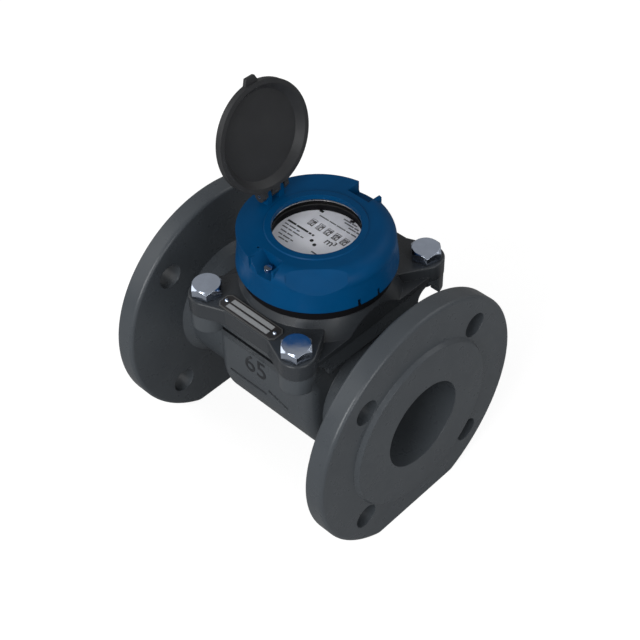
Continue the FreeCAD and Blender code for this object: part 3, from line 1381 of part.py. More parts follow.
def seal_screw():
    """Drilled screw in the pocket of the cap."""
    floor, reach, angle = "cap_top - pocket_floor", "seal_screw_reach", "seal_screw_angle"
    head = head_rod("seal_screw_radius", reach, angle, floor, "seal_screw_height")
    shank = head_rod("seal_screw_radius / 2", reach, angle, f"{floor} - seal_screw_depth", "seal_screw_depth")
    hole = radial_block(angle, f"{reach} - 2 * seal_screw_radius", "4 * seal_screw_radius", "seal_hole",
                        "seal_hole", f"{floor} + (seal_screw_height - seal_hole) / 2")
    return cut(join(head, shank), hole)


def hinge_pin():
    """Pin through the lugs of the cap and the knuckles of the lid."""
    return hinge_rod("pin_radius", "0", "hinge_width")


def lid_panel():
    """The lid as it lies closed, measured from the hinge axis."""
    profile = [
        ("0", "lid_recess"), ("lid_recess_radius", "lid_recess"), ("lid_radius - lid_rim", "0"),
        ("lid_radius", "0"), ("lid_radius", "lid_edge"),
        ("lid_radius - lid_crown_inset", "lid_edge + lid_crown_rise"),
        ("lid_radius / 2", "lid_height - lid_crown_drop"), ("0", "lid_height"),
    ]
    return turned(profile, "hinge_reach", 0, "lid_rest_gap - hinge_rise")


def knuckle(centre, wide):
    """One knuckle of the lid with the arm that joins it to the rim."""
    long = "hinge_reach - lid_radius + lid_root"
    arm = block(long, wide, "hinge_radius", f"({long}) / 2", centre,
                "lid_rest_gap - hinge_rise + lid_edge - hinge_radius")
    return [rod("hinge_radius", wide, 0, f"{centre} - ({wide}) / 2", 0, "Y"), arm]


def lid():
    """Hinged lid with its recess, its three knuckles and a finger tab, standing open."""
    outer = "(middle_knuckle / 2 + 2 * hinge_gap + cap_lug + outer_knuckle / 2)"
    knuckles = knuckle("0", "middle_knuckle")
    for centre in (outer, f"0 - {outer}"):
        knuckles += knuckle(centre, "outer_knuckle")
    root, tip = "hinge_reach + lid_radius - lid_root", "hinge_reach + lid_radius + lid_tab_reach"
    tab = prism([
        (root, "0 - lid_tab_width / 2"), (tip, "0 - lid_tab_tip / 2"), (tip, "lid_tab_tip / 2"),
        (root, "lid_tab_width / 2"),
    ], "lid_edge / 2", "XY_Plane", 0, 0, "lid_rest_gap - hinge_rise + lid_edge / 2")
    room, wide = "hinge_radius + 2 * hinge_gap", "cap_lug + 2 * hinge_gap"
    lug_room = [
        join(rod(room, wide, 0, f"{cap_lug_place(side)} - ({wide}) / 2", 0, "Y"),
             block(f"2 * ({room})", wide, "2 * hinge_rise", 0, cap_lug_place(side), "0 - 2 * hinge_rise"))
        for side in (-1, 1)
    ]
    hole = rod("pin_radius + running_gap", "2 * hinge_width", 0, "0 - hinge_width", 0, "Y")
    closed = cut(join(lid_panel(), *knuckles, tab), hole, *lug_room)
    doc.recompute()
    thing = doc.addObject("Part::Feature", "open_lid")
    thing.Shape = closed.Shape.copy()
    thing.Placement = Placement(Vector(), Rotation(Vector(0, 1, 0), -value("lid_open_angle")))
    return put(thing, "pin_place", 0, "pin_height")


def build():
    """Make every sub-part under its own label."""
    piece("body_casting", body_casting())
    piece("cover_plate", cover_plate())
    piece("cover_gasket", cover_gasket())
    piece("cover_bolts", cover_bolts())
    piece("nameplate", nameplate())
    piece("nameplate_rivets", nameplate_rivets())
    piece("pressure_plate", pressure_plate())
    piece("pressure_seal", pressure_seal())
    piece("insert_frame", insert_frame())
    piece("insert_screws", insert_screws())
    piece("inlet_straightener", inlet_straightener())
    piece("bearing_carrier", bearing_carrier())
    piece("front_bearing", bush("rotor_shaft_radius", "insert_start + inlet_hub_length - bearing_length", 0,
                                "axis_height", "X"))
    piece("rear_bearing", bush("rotor_shaft_radius", "outlet_hub_start", 0, "axis_height", "X"))
    piece("rotor", rotor())
    piece("rotor_shaft", rod("rotor_shaft_radius", "rotor_shaft_end - rotor_shaft_start",
                             "rotor_shaft_start", 0, "axis_height", "X"))
    worm, wheel = worm_drive()
    piece("rotor_worm", worm)
    piece("worm_wheel", wheel)
    low = "wheel_well_floor - bearing_length"
    piece("upright_shaft", rod("upright_radius", f"magnet_top - ({low}) - fit_gap", "head_offset",
                               "shaft_offset", f"{low} + fit_gap"))
    piece("lower_bush", bush("upright_radius", "head_offset", "shaft_offset", low))
    piece("upper_bush", bush("upright_radius", "head_offset", "shaft_offset",
                             "seat_height - magnet_well_depth - bearing_length"))
    piece("driving_magnet", tube("magnet_radius", "upright_radius", "magnet_height", "head_offset",
                                 "shaft_offset", "magnet_bottom"))
    piece("regulating_vane", regulating_vane())
    piece("regulator_plug", rod("plug_radius", "well_floor", "regulator_place", 0, "seat_height"))
    piece("clamp_ring", clamp_ring())
    piece("register_case", register_case())
    piece("movement_base", movement_base())
    piece("following_magnet", coupling_magnet())
    piece("magnet_spindle", coupling_spindle())
    piece("middle_gear", middle_gear())
    piece("counter_gear", counter_gear())
    piece("counter_worm", counter_worm())
    piece("counter_wheel", counter_wheel())
    piece("gear_bridge", gear_bridge())
    piece("drum_shaft", drum_shaft())
    for order in range(int(value("drum_count"))):
        piece(f"number_drum_{order + 1}", number_drum(order))
    piece("carry_shaft", carry_shaft())
    piece("carry_pinions", carry_pinions())
    piece("left_drum_bracket", drum_bracket("bracket_left"))
    piece("right_drum_bracket", drum_bracket("bracket_right"))
    piece("dial_plate", dial_plate())
    piece("dial_surround", dial_surround())
    piece("glass_gasket", glass_gasket())
    piece("window_glass", window_glass())
    piece("retaining_ring", retaining_ring())
    piece("register_cap", register_cap())
    piece("seal_screw", seal_screw())
    piece("hinge_pin", hinge_pin())
    piece("lid", lid())


def check_and_write():
    """Stop on any failed object, then write one file for each sub-part."""
    doc.recompute()
    for thing in doc.Objects:
        if "Invalid" in thing.State or "Error" in thing.State:
            raise RuntimeError(f"{thing.Label} ({thing.TypeId}) did not compute: {thing.State}")
    for thing in PIECES:
        shape = thing.Shape
        if shape.isNull() or not shape.isValid() or shape.Volume <= 0:
            raise RuntimeError(f"{thing.Label} has no valid solid")
        shape.exportStep(f"parts/{thing.Label}.step")
        print(f"{thing.Label}: {len(shape.Solids)} solid(s), {shape.Volume / 1000:.3f} cm3")


build()
check_and_write()
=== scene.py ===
"""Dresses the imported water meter: paint, plated steel, moulded plastic, dial print and counter digits."""

import json
import math

import bmesh
import bpy
from bpy.props import FloatProperty, FloatVectorProperty, IntProperty, PointerProperty
from mathutils import Matrix, Vector


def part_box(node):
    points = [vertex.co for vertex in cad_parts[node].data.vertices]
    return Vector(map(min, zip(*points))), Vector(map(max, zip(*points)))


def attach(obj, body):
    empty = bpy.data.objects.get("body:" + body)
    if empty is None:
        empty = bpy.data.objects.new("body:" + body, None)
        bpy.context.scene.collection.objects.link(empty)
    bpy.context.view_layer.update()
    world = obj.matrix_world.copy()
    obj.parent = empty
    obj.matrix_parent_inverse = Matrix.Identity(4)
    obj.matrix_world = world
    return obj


bl_info = {
    "name": "Water Meter Dressing",
    "version": (1, 0, 0),
    "blender": (4, 5, 0),
    "location": "3D View > Sidebar > Water Meter",
    "description": "Finishes and small details of a flanged water meter",
    "category": "Object",
}

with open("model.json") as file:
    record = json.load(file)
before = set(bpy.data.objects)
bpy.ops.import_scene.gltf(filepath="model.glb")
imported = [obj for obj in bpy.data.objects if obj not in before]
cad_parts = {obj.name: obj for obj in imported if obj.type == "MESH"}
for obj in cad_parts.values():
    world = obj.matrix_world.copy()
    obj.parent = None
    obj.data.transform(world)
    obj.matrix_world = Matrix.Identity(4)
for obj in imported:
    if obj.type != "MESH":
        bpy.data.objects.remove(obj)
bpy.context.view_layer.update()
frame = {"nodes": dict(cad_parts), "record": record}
MM = 0.001


def middle(node):
    """Centre of a node's box."""
    low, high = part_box(node)
    return (low + high) / 2


def top(node):
    """Height of a node's highest point."""
    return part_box(node)[1].z


# Start of the name of each finish, which keeps it apart from the slots of the CAD nodes
FINISH = "finish_"
HEAD = middle("dial_plate")
PIPE_HEIGHT = middle("rotor").z
DRUM = middle("number_drum_5")
DRUM_RADIUS = (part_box("number_drum_5")[1].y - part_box("number_drum_5")[0].y) / 2
DRUM_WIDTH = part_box("number_drum_5")[1].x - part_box("number_drum_5")[0].x
DRUMS = [f"number_drum_{order}" for order in range(1, 6)]


def length(name, default, description):
    """A length property in metres."""
    return FloatProperty(
        name=name, description=description, default=default, min=0.0, unit="LENGTH", precision=5
    )


def colour(name, default, description):
    """A colour property."""
    return FloatVectorProperty(
        name=name, description=description, default=default, size=3, min=0.0, max=1.0, subtype="COLOR"
    )


class CastingSettings(bpy.types.PropertyGroup):
    """Paint and cast marks of the iron parts."""

    paint: colour("Paint", (0.056, 0.064, 0.072), "Grey paint on the iron")
    paint_shade: colour("Paint shade", (0.048, 0.055, 0.063), "Darker patches of the paint")
    # Painted shade: the cover plate is darker than the body's paint so that it reads as shaded under the cap
    cover: colour("Cover paint", (0.030, 0.034, 0.039), "Darker paint on the cover plate")
    # Painted shade: a dark colour that stands in for the shade inside the flow arrow and on the bore numerals
    groove: colour("Groove", (0.012, 0.014, 0.017), "Dark floor of the cast marks")
    edge_round: length("Edge round", 0.9 * MM, "Soft edge that thick paint leaves")
    barrel_width: length("Barrel width", 100 * MM, "Body across the two cast marks")
    numeral_height: length("Numeral height", 15.5 * MM, "Height of the bore numerals")
    numeral_relief: length("Numeral relief", 0.25 * MM, "Relief of the bore numerals")
    groove_depth: length("Groove depth", 1.0 * MM, "Depth of the flow arrow")
    numeral_shift: FloatProperty(
        name="Numeral shift", description="Numerals from the middle of the body along the pipe",
        default=-3.6 * MM, unit="LENGTH", precision=5,
    )
    numeral_rise: length("Numeral rise", 11.2 * MM, "Foot of the numerals above the pipe axis")


class SteelSettings(bpy.types.PropertyGroup):
    """Bolts, rivets and the name plate."""

    plated: colour("Plated steel", (0.60, 0.67, 0.80), "Zinc plate with a blue cast")
    bare: colour("Bare steel", (0.46, 0.46, 0.47), "Ground steel")
    brass: colour("Brass", (0.72, 0.55, 0.26), "Turned brass")
    plate_field: colour("Plate field", (0.022, 0.020, 0.020), "Dark field of the name plate")
    plate_edge: colour("Plate edge", (0.16, 0.16, 0.16), "Bare edge of the name plate")
    plate_bar: colour("Plate bar", (0.30, 0.31, 0.32), "Light bars on the name plate")
    plate_margin: length("Plate margin", 0.8 * MM, "Bare edge round the dark field")
    field_corner: length("Field corner", 2.2 * MM, "Cut corners of the dark field")
    print_thickness: length("Print thickness", 0.06 * MM, "Thickness of printed fields")


class PlasticSettings(bpy.types.PropertyGroup):
    """Mouldings of the register and of the water side."""

    cap: colour("Cap", (0.0, 0.046, 0.135), "Blue cap")
    lid: colour("Lid", (0.026, 0.027, 0.029), "Charcoal lid")
    black: colour("Black", (0.006, 0.006, 0.007), "Black mouldings")
    drum: colour("Drum", (0.80, 0.80, 0.83), "White drums and gears")
    rotor: colour("Rotor", (0.12, 0.30, 0.52), "Rotor and worm gear")
    insert: colour("Insert", (0.50, 0.48, 0.43), "Measuring insert")
    rubber: colour("Rubber", (0.014, 0.014, 0.014), "Seals")


class DialSettings(bpy.types.PropertyGroup):
    """Dial, its print and the counter."""

    card: colour("Card", (0.80, 0.81, 0.87), "Ground of the dial")
    ink: colour("Ink", (0.006, 0.006, 0.008), "Dark print")
    faint_ink: colour("Faint ink", (0.10, 0.10, 0.115), "Small print, as plain bars")
    window_length: length("Window length", 3.8 * MM, "Number windows along the row")
    window_width: length("Window width", 5.6 * MM, "Number windows across the row")
    frame_line: length("Frame line", 0.36 * MM, "Line printed round each number window")
    digit_size: length("Digit size", 5.9 * MM, "Type size of the digits")
    digit_relief: length("Digit relief", 0.38 * MM, "Thickness of the digits")
    digits: IntProperty(name="Digits", description="Digits round a drum", default=10, min=2)
    unit_size: length("Unit size", 8.0 * MM, "Type size of the unit")
    bold: length("Bold", 0.09 * MM, "What bold type adds to each side of a stroke")


class StageSettings(bpy.types.PropertyGroup):
    """Camera, floor and lamps."""

    camera_azimuth: FloatProperty(
        name="Azimuth", description="Camera round the meter", default=math.radians(-44.93), subtype="ANGLE"
    )
    camera_elevation: FloatProperty(
        name="Elevation", description="Camera above the level", default=math.radians(44.74), subtype="ANGLE"
    )
    camera_roll: FloatProperty(
        name="Roll", description="Camera about its line of sight", default=math.radians(-1.67), subtype="ANGLE"
    )
    camera_distance: length("Distance", 0.9237, "Camera from the point it is aimed at")
    camera_lens: FloatProperty(
        name="Lens", description="Focal length on a 36 mm sensor", default=75.617, min=1.0, unit="CAMERA"
    )
    sky: FloatProperty(name="Sky", description="Light of the surroundings", default=0.32, min=0.0)
    camera_across: length("Aim across", 4.89 * MM, "Aim beside the pipe axis, across the picture")
    camera_up: length("Aim up", 19.94 * MM, "Aim above the pipe axis, up the picture")
    floor_size: length("Floor size", 8.0, "Side of the floor")
    floor: colour("Floor", (0.30, 0.30, 0.30), "Floor as the lamps light it")
    floor_lift: FloatProperty(name="Floor lift", description="Light added so that the floor looks white",
                              default=0.82, min=0.0)


GROUPS = {
    "meter_casting": CastingSettings,
    "meter_steel": SteelSettings,
    "meter_plastic": PlasticSettings,
    "meter_dial": DialSettings,
    "meter_stage": StageSettings,
}


# Stretch of a noise that has none, its detail, and the rays that find a soft edge
EVEN = (1.0, 1.0, 1.0)
NOISE_DETAIL = 3.0
BEVEL_SAMPLES = 4


def rgba(value):
    """A colour with full opacity."""
    return (value[0], value[1], value[2], 1.0)


def darker(value, share):
    """A share of a colour."""
    return [share * part for part in value]


class Finish:
    """A material and the few node calls that its makers need."""

    def __init__(self, name, base, roughness, metallic=0.0):
        self.material = bpy.data.materials.new(FINISH + name)
        self.material.use_nodes = True
        self.tree = self.material.node_tree
        self.shader = self.tree.nodes["Principled BSDF"]
        self.set("Base Color", rgba(base))
        self.set("Roughness", roughness)
        self.set("Metallic", metallic)
        self.place = self.tree.nodes.new("ShaderNodeTexCoord").outputs["Object"]

    def set(self, socket, value):
        """Set one of the shader's own sockets."""
        self.shader.inputs[socket].default_value = value

    def noise(self, grain, stretch):
        """A noise whose grains have a size in metres."""
        mapping = self.tree.nodes.new("ShaderNodeMapping")
        mapping.inputs["Scale"].default_value = stretch
        texture = self.tree.nodes.new("ShaderNodeTexNoise")
        texture.inputs["Scale"].default_value = 1.0 / grain
        texture.inputs["Detail"].default_value = NOISE_DETAIL
        self.tree.links.new(self.place, mapping.inputs["Vector"])
        self.tree.links.new(mapping.outputs["Vector"], texture.inputs["Vector"])
        return texture.outputs["Fac"]

    def ramp(self, source, low, high, start=0.35, end=0.65):
        """Spread a value over a range of values."""
        spread = self.tree.nodes.new("ShaderNodeMapRange")
        spread.inputs["From Min"].default_value = start
        spread.inputs["From Max"].default_value = end
        spread.inputs["To Min"].default_value = low
        spread.inputs["To Max"].default_value = high
        self.tree.links.new(source, spread.inputs["Value"])
        return spread.outputs["Result"]

    def mix(self, factor, first, second):
        """Mix two colours by a value."""
        blend = self.tree.nodes.new("ShaderNodeMix")
        blend.data_type = "RGBA"
        blend.inputs["A"].default_value = rgba(first)
        blend.inputs["B"].default_value = rgba(second)
        self.tree.links.new(factor, blend.inputs["Factor"])
        return blend.outputs["Result"]

    def tint(self, first, second, grain, start=0.35, end=0.65):
        """Vary the base colour in patches."""
        factor = self.ramp(self.noise(grain, EVEN), 0.0, 1.0, start, end)
        self.tree.links.new(self.mix(factor, first, second), self.shader.inputs["Base Color"])

    def gloss(self, low, high, grain, stretch=EVEN):
        """Vary the roughness in patches."""
        uneven = self.ramp(self.noise(grain, stretch), low, high)
        self.tree.links.new(uneven, self.shader.inputs["Roughness"])

    def relief(self, grains, round_edge=0.0):
        """Add bumps, each as a grain, a depth and a stretch, over an optional soft edge."""
        normal = None
        if round_edge:
            bevel = self.tree.nodes.new("ShaderNodeBevel")
            bevel.samples = BEVEL_SAMPLES
            bevel.inputs["Radius"].default_value = round_edge
            normal = bevel.outputs["Normal"]
        for grain, depth, stretch in grains:
            bump = self.tree.nodes.new("ShaderNodeBump")
            bump.inputs["Distance"].default_value = depth
            self.tree.links.new(self.noise(grain, stretch), bump.inputs["Height"])
            if normal:
                self.tree.links.new(normal, bump.inputs["Normal"])
            normal = bump.outputs["Normal"]
        self.tree.links.new(normal, self.shader.inputs["Normal"])


def cast_paint(scene, name, paint, shade):
    """Satin grey paint over sand-cast iron."""
    casting = scene.meter_casting
    finish = Finish(name, paint, 0.42)
    finish.set("Specular IOR Level", 0.35)
    finish.tint(paint, shade, 40 * MM, 0.35, 0.75)
    finish.gloss(0.26, 0.34, 12 * MM)
    finish.relief([(2.2 * MM, 0.035 * MM, EVEN)], casting.edge_round)
    return finish.material


def groove_shade_paint(scene):
    """Painted shade on the cast marks: a dark coat, mottled with the darker paint patches, that stands in for
    the shade of the sunken arrow and of the numerals.
    """
    casting = scene.meter_casting
    finish = Finish("groove_shade_paint", casting.groove, 0.75)
    finish.tint(casting.groove, casting.paint_shade, 9 * MM, 0.55, 0.85)
    return finish.material


def plated_steel(scene):
    """Zinc-plated steel with fine marks."""
    steel = scene.meter_steel
    finish = Finish("plated_steel", steel.plated, 0.14, metallic=1.0)
    finish.tint(steel.plated, darker(steel.plated, 0.92), 6 * MM)
    finish.gloss(0.11, 0.18, 4 * MM)
    finish.relief([(5 * MM, 0.02 * MM, EVEN)], 0.3 * MM)
    return finish.material


def bare_steel(scene):
    """Ground steel with marks along the shaft."""
    steel = scene.meter_steel
    finish = Finish("bare_steel", steel.bare, 0.3, metallic=1.0)
    finish.gloss(0.22, 0.38, 1.5 * MM, (0.2, 1.0, 1.0))
    return finish.material


def turned_brass(scene):
    """Brass with fine turning marks."""
    steel = scene.meter_steel
    finish = Finish("turned_brass", steel.brass, 0.34, metallic=1.0)
    finish.tint(steel.brass, darker(steel.brass, 0.8), 8 * MM)
    finish.gloss(0.26, 0.42, 1.2 * MM, (1.0, 1.0, 6.0))
    return finish.material


def plate_metal(scene):
    """Bare sheet of the name plate."""
    steel = scene.meter_steel
    finish = Finish("plate_metal", steel.plate_edge, 0.42, metallic=0.7)
    finish.gloss(0.36, 0.5, 2 * MM, (0.2, 1.0, 1.0))
    return finish.material


def printed(name, base, grain=3 * MM, roughness=0.5):
    """A printed field with a slightly uneven coat."""
    finish = Finish(name, base, roughness)
    finish.tint(base, darker(base, 0.86), grain)
    finish.gloss(roughness - 0.06, roughness + 0.08, grain)
    return finish.material


# Grains of the skin of a moulding, and their depth
SKIN_GRAIN = 0.8 * MM
SKIN_DEPTH = 0.012 * MM


def moulding(name, base, roughness, edge=0.3 * MM, shine=0.25):
    """A moulded plastic with a fine skin."""
    finish = Finish(name, base, roughness)
    finish.set("Specular IOR Level", shine)
    finish.tint(base, darker(base, 0.9), 18 * MM)
    finish.gloss(roughness - 0.05, roughness + 0.06, 5 * MM)
    finish.relief([(SKIN_GRAIN, SKIN_DEPTH, EVEN)], edge)
    return finish.material


def clear_glass(scene):
    """Thin clear window."""
    finish = Finish("clear_glass", (0.98, 1.0, 1.0), 0.04)
    finish.set("Transmission Weight", 1.0)
    finish.set("IOR", 1.02)
    finish.set("Alpha", 0.1)
    return finish.material


def finishes(scene):
    """Every finish by name."""
    casting, steel = scene.meter_casting, scene.meter_steel
    plastic, dial = scene.meter_plastic, scene.meter_dial
    return {
        "cast_paint": cast_paint(scene, "cast_paint", casting.paint, casting.paint_shade),
        # Painted shade: the cover plate's darker paint stands in for the shade under the cap
        "cover_shade_paint": cast_paint(scene, "cover_shade_paint", casting.cover, darker(casting.cover, 0.85)),
        # Painted shade for the cast marks
        "groove_shade_paint": groove_shade_paint(scene),
        "plated_steel": plated_steel(scene),
        "bare_steel": bare_steel(scene),
        "turned_brass": turned_brass(scene),
        "plate_metal": plate_metal(scene),
        "plate_field": printed("plate_field", steel.plate_field),
        "plate_bar": printed("plate_bar", steel.plate_bar, 0.8 * MM),
        "cap_blue": moulding("cap_blue", plastic.cap, 0.4, edge=0.5 * MM, shine=0.07),
        "lid_charcoal": moulding("lid_charcoal", plastic.lid, 0.4, edge=0.5 * MM),
        "black_moulding": moulding("black_moulding", plastic.black, 0.5, shine=0.04),
        "drum_white": moulding("drum_white", plastic.drum, 0.45, edge=0.1 * MM),
        "rotor_blue": moulding("rotor_blue", plastic.rotor, 0.4),
        "insert_moulding": moulding("insert_moulding", plastic.insert, 0.5),
        "rubber": moulding("rubber", plastic.rubber, 0.7),
        "dial_card": printed("dial_card", dial.card, 14 * MM, 0.45),
        "ink": printed("ink", dial.ink),
        "faint_ink": printed("faint_ink", dial.faint_ink, 0.7 * MM),
        "clear_glass": clear_glass(scene),
    }


NODE_FINISH = {
    "cast_paint": ["body_casting"],
    # The cover plate's darker paint is painted shade
    "cover_shade_paint": ["cover_plate"],
    "plated_steel": ["cover_bolts", "nameplate_rivets", "seal_screw"],
    "bare_steel": [
        "insert_screws", "rotor_shaft", "upright_shaft", "driving_magnet", "following_magnet",
        "magnet_spindle", "drum_shaft", "carry_shaft", "hinge_pin", "retaining_ring", "front_bearing",
        "rear_bearing", "lower_bush", "upper_bush",
    ],
    "turned_brass": [
        "register_case", "movement_base", "gear_bridge", "left_drum_bracket", "right_drum_bracket",
        "regulator_plug", "pressure_plate",
    ],
    "plate_metal": ["nameplate"],
    "insert_moulding": ["insert_frame", "inlet_straightener", "bearing_carrier", "regulating_vane"],
    "rotor_blue": ["rotor", "rotor_worm", "worm_wheel"],
    "black_moulding": ["clamp_ring", "dial_surround"],
    "drum_white": ["middle_gear", "counter_gear", "counter_worm", "counter_wheel", "carry_pinions", *DRUMS],
    "cap_blue": ["register_cap"],
    "lid_charcoal": ["lid"],
    "dial_card": ["dial_plate"],
    "rubber": ["cover_gasket", "pressure_seal", "glass_gasket"],
    "clear_glass": ["window_glass"],
}
BODY_OF = {node: body for body, nodes in frame["record"]["behaviour"]["bodies"].items() for node in nodes}


def material(name):
    """A finish that the first operator has made."""
    return bpy.data.materials[FINISH + name]


def dress(finish_name):
    """Give the CAD nodes of one finish its material."""
    for node in NODE_FINISH[finish_name]:
        for slot in frame["nodes"][node].material_slots:
            slot.material = material(finish_name)


def piece(name, mesh, finish_name, like):
    """Put a mesh in the scene as a piece with its own finish, riding with the body of a node."""
    thing = bpy.data.objects.new(name, mesh)
    bpy.context.scene.collection.objects.link(thing)
    mesh.materials.clear()
    mesh.materials.append(material(finish_name))
    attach(thing, BODY_OF[like])
    return thing


def mesh_from(build, name):
    """Run a bmesh builder and keep the result."""
    shape = bmesh.new()
    build(shape)
    bmesh.ops.recalc_face_normals(shape, faces=shape.faces)
    mesh = bpy.data.meshes.new(name)
    shape.to_mesh(mesh)
    shape.free()
    return mesh


def extrude_outline(shape, points, low, high):
    """Add an upright prism on an outline in plan."""
    foot = [shape.verts.new((x, y, low)) for x, y in points]
    head = [shape.verts.new((x, y, high)) for x, y in points]
    shape.faces.new(foot[::-1])
    shape.faces.new(head)
    for number in range(len(points)):
        after = (number + 1) % len(points)
        shape.faces.new((foot[number], foot[after], head[after], head[number]))


def glyphs(text, size, relief, name, bold=0.0):
    """Lettering as a solid mesh with its foot at the origin, centred across."""
    curve = bpy.data.curves.new(name, "FONT")
    curve.body = text
    curve.size = size
    curve.extrude = relief / 2
    curve.offset = bold
    curve.resolution_u = 6
    curve.align_x = "CENTER"
    holder = bpy.data.objects.new(name, curve)
    bpy.context.scene.collection.objects.link(holder)
    graph = bpy.context.evaluated_depsgraph_get()
    mesh = bpy.data.meshes.new_from_object(holder.evaluated_get(graph))
    bpy.data.objects.remove(holder)
    mesh.transform(Matrix.Translation((0, 0, relief / 2)))
    return mesh


class MeterOperator:
    """What all the operators share."""

    bl_options = {"REGISTER", "UNDO"}


class METER_OT_finishes(MeterOperator, bpy.types.Operator):
    """Make every finish and give each CAD node its own."""

    bl_idname = "water_meter.finishes"
    bl_label = "Finishes"

    def execute(self, context):
        finishes(context.scene)
        for name in NODE_FINISH:
            dress(name)
        return {"FINISHED"}


# Height of a capital in Blender's own font, for a type size of one
CAPITAL = 0.72
# Width of the arrow's strokes, then its stroke and its barb: lower left corner in millimetres along and
# above the pipe axis, length, and lean towards the head
ARROW_WIDTH = 2.4
ARROW_STROKES = ((-29.5, -2.9, 35.0, 0.0), (7.4, 2.2, 18.3, math.radians(16.6)))


def stroke_corners(along, above, long, lean):
    """Corners of one stroke of the flow arrow."""
    end = (long * math.cos(lean), -long * math.sin(lean))
    side = (ARROW_WIDTH * math.sin(lean), ARROW_WIDTH * math.cos(lean))
    steps = ((0.0, 0.0), end, (end[0] + side[0], end[1] + side[1]), side)
    return [(along + step[0], above + step[1]) for step in steps]


class METER_OT_cast_marks(MeterOperator, bpy.types.Operator):
    """Bore numerals on both sides of the body, and the floor of the flow arrow, both in a dark coat of painted
    shade.
    """

    bl_idname = "water_meter.cast_marks"
    bl_label = "Cast marks"

    def execute(self, context):
        casting = context.scene.meter_casting
        half_width = casting.barrel_width / 2

        def floor(side):
            level = half_width - casting.groove_depth
            sides = [side * level, side * (level + context.scene.meter_steel.print_thickness)]

            def build(shape):
                for stroke in ARROW_STROKES:
                    corners = stroke_corners(*stroke)
                    near, far = [
                        [shape.verts.new((x * MM, y, PIPE_HEIGHT + z * MM)) for x, z in corners] for y in sides
                    ]
                    for number in range(len(corners)):
                        after = (number + 1) % len(corners)
                        shape.faces.new((near[number], near[after], far[after], far[number]))
                    shape.faces.new(near[::-1])
                    shape.faces.new(far)

            return build

        for side, turn in (("front", 0.0), ("back", math.pi)):
            # Painted shade: a dark sheet on the arrow's floor, where the shade of the sunken mark would fall
            arrow = mesh_from(floor(-1 if side == "front" else 1), f"arrow_floor_{side}")
            piece(f"arrow_floor_{side}", arrow, "groove_shade_paint", "body_casting")
            # Painted shade: the raised numerals get the same dark coat so that they read as shaded cast marks
            mesh = glyphs("65", casting.numeral_height / CAPITAL, casting.numeral_relief, f"numerals_{side}")
            upright = Matrix.Rotation(math.pi / 2, 4, "X")
            face = Matrix.Translation((0, -half_width, PIPE_HEIGHT + casting.numeral_rise))
            about = Matrix.Rotation(turn, 4, "Z")
            along = Matrix.Translation((casting.numeral_shift, 0, 0))
            mesh.transform(along @ about @ face @ upright)
            piece(f"bore_numerals_{side}", mesh, "groove_shade_paint", "body_casting")
        return {"FINISHED"}


# Bars on the name plate, as shares of half the dark field: row, half width, start and end
BAR_ROW = 0.46
BAR_HALF_WIDTH = 0.32
BAR_START = -0.76
BAR_END = 0.74


def plate_outline(long, wide, corner):
    """Plate with cut corners, as points in plan."""
    return [
        (long, corner - wide), (long, wide - corner), (long - corner, wide), (corner - long, wide),
        (-long, wide - corner), (-long, corner - wide), (corner - long, -wide), (long - corner, -wide),
    ]


class METER_OT_plate_print(MeterOperator, bpy.types.Operator):
    """Dark field and two plain light bars on the name plate."""

    bl_idname = "water_meter.plate_print"
    bl_label = "Plate print"

    def execute(self, context):
        steel = context.scene.meter_steel
        low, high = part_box("nameplate")
        centre = (low + high) / 2
        long = (high.x - low.x) / 2 - steel.plate_margin
        wide = (high.y - low.y) / 2 - steel.plate_margin
        field_top = high.z + steel.print_thickness

        def field(shape):
            outline = plate_outline(long, wide, steel.field_corner)
            extrude_outline(shape, [(centre.x + x, centre.y + y) for x, y in outline], high.z, field_top)

        def bars(shape):
            for row in (-1, 1):
                start, end = centre.x + BAR_START * long, centre.x + BAR_END * long
                near = centre.y + row * BAR_ROW * wide - BAR_HALF_WIDTH * wide
                far = centre.y + row * BAR_ROW * wide + BAR_HALF_WIDTH * wide
                corners = [(start, near), (end, near), (end, far), (start, far)]
                extrude_outline(shape, corners, field_top, field_top + steel.print_thickness)

        piece("plate_field", mesh_from(field, "plate_field"), "plate_field", "nameplate")
        piece("plate_bars", mesh_from(bars, "plate_bars"), "plate_bar", "nameplate")
        return {"FINISHED"}


def dial_bar(shape, x, y, long, wide, low, high):
    """One bar of print on the dial, by its left end, in millimetres from the dial's centre."""
    left, right = HEAD.x + x * MM, HEAD.x + (x + long) * MM
    near, far = HEAD.y + (y - wide / 2) * MM, HEAD.y + (y + wide / 2) * MM
    extrude_outline(shape, [(left, near), (right, near), (right, far), (left, far)], low, high)


# Rows of print on the dial: left end, height and lengths of the words, in millimetres
BOLD_WORDS = [(-27.4, 1.9, (7.2, 9.8, 2.0, 1.6))]
SMALL_WORDS = [
    (-26.8, -1.4, (3.2, 5.4, 2.6)), (-26.4, -4.2, (4.6, 3.0, 6.0, 2.4)), (-24.6, -7.6, (5.2, 4.4)),
    (-23.4, -10.8, (3.4, 5.6, 2.2)), (-20.6, -13.6, (5.0, 2.4)), (-15.6, 18.8, (8.0, 5.6, 7.4, 3.2, 4.6)),
    (-1.6, 26.6, (6.4, 4.2)), (1.2, 24.4, (7.6, 3.8)), (6.6, 22.2, (6.0, 3.0)),
]
WORD_SPACE = 0.8
BOLD_WIDTH, SMALL_WIDTH = 1.5, 0.95
# Tabs by left end, height, length and width, then the two dots, all in millimetres from the dial's centre
TABS = ((-19.0, 22.6, 3.2, 2.0), (2.6, 28.2, 3.4, 1.8), (4.6, -9.8, 4.2, 1.0))
DOTS = ((-2.3, -2.3), (1.8, -4.2))
DOT_RADIUS = 1.3
DOT_SIDES = 32
# The unit and its power: text, place from the dial's centre in millimetres, and share of the unit's type size
UNIT = (("dial_unit", "m", 7.3, 1.2, 1.0), ("dial_unit_power", "3", 11.2, 3.3, 0.58))


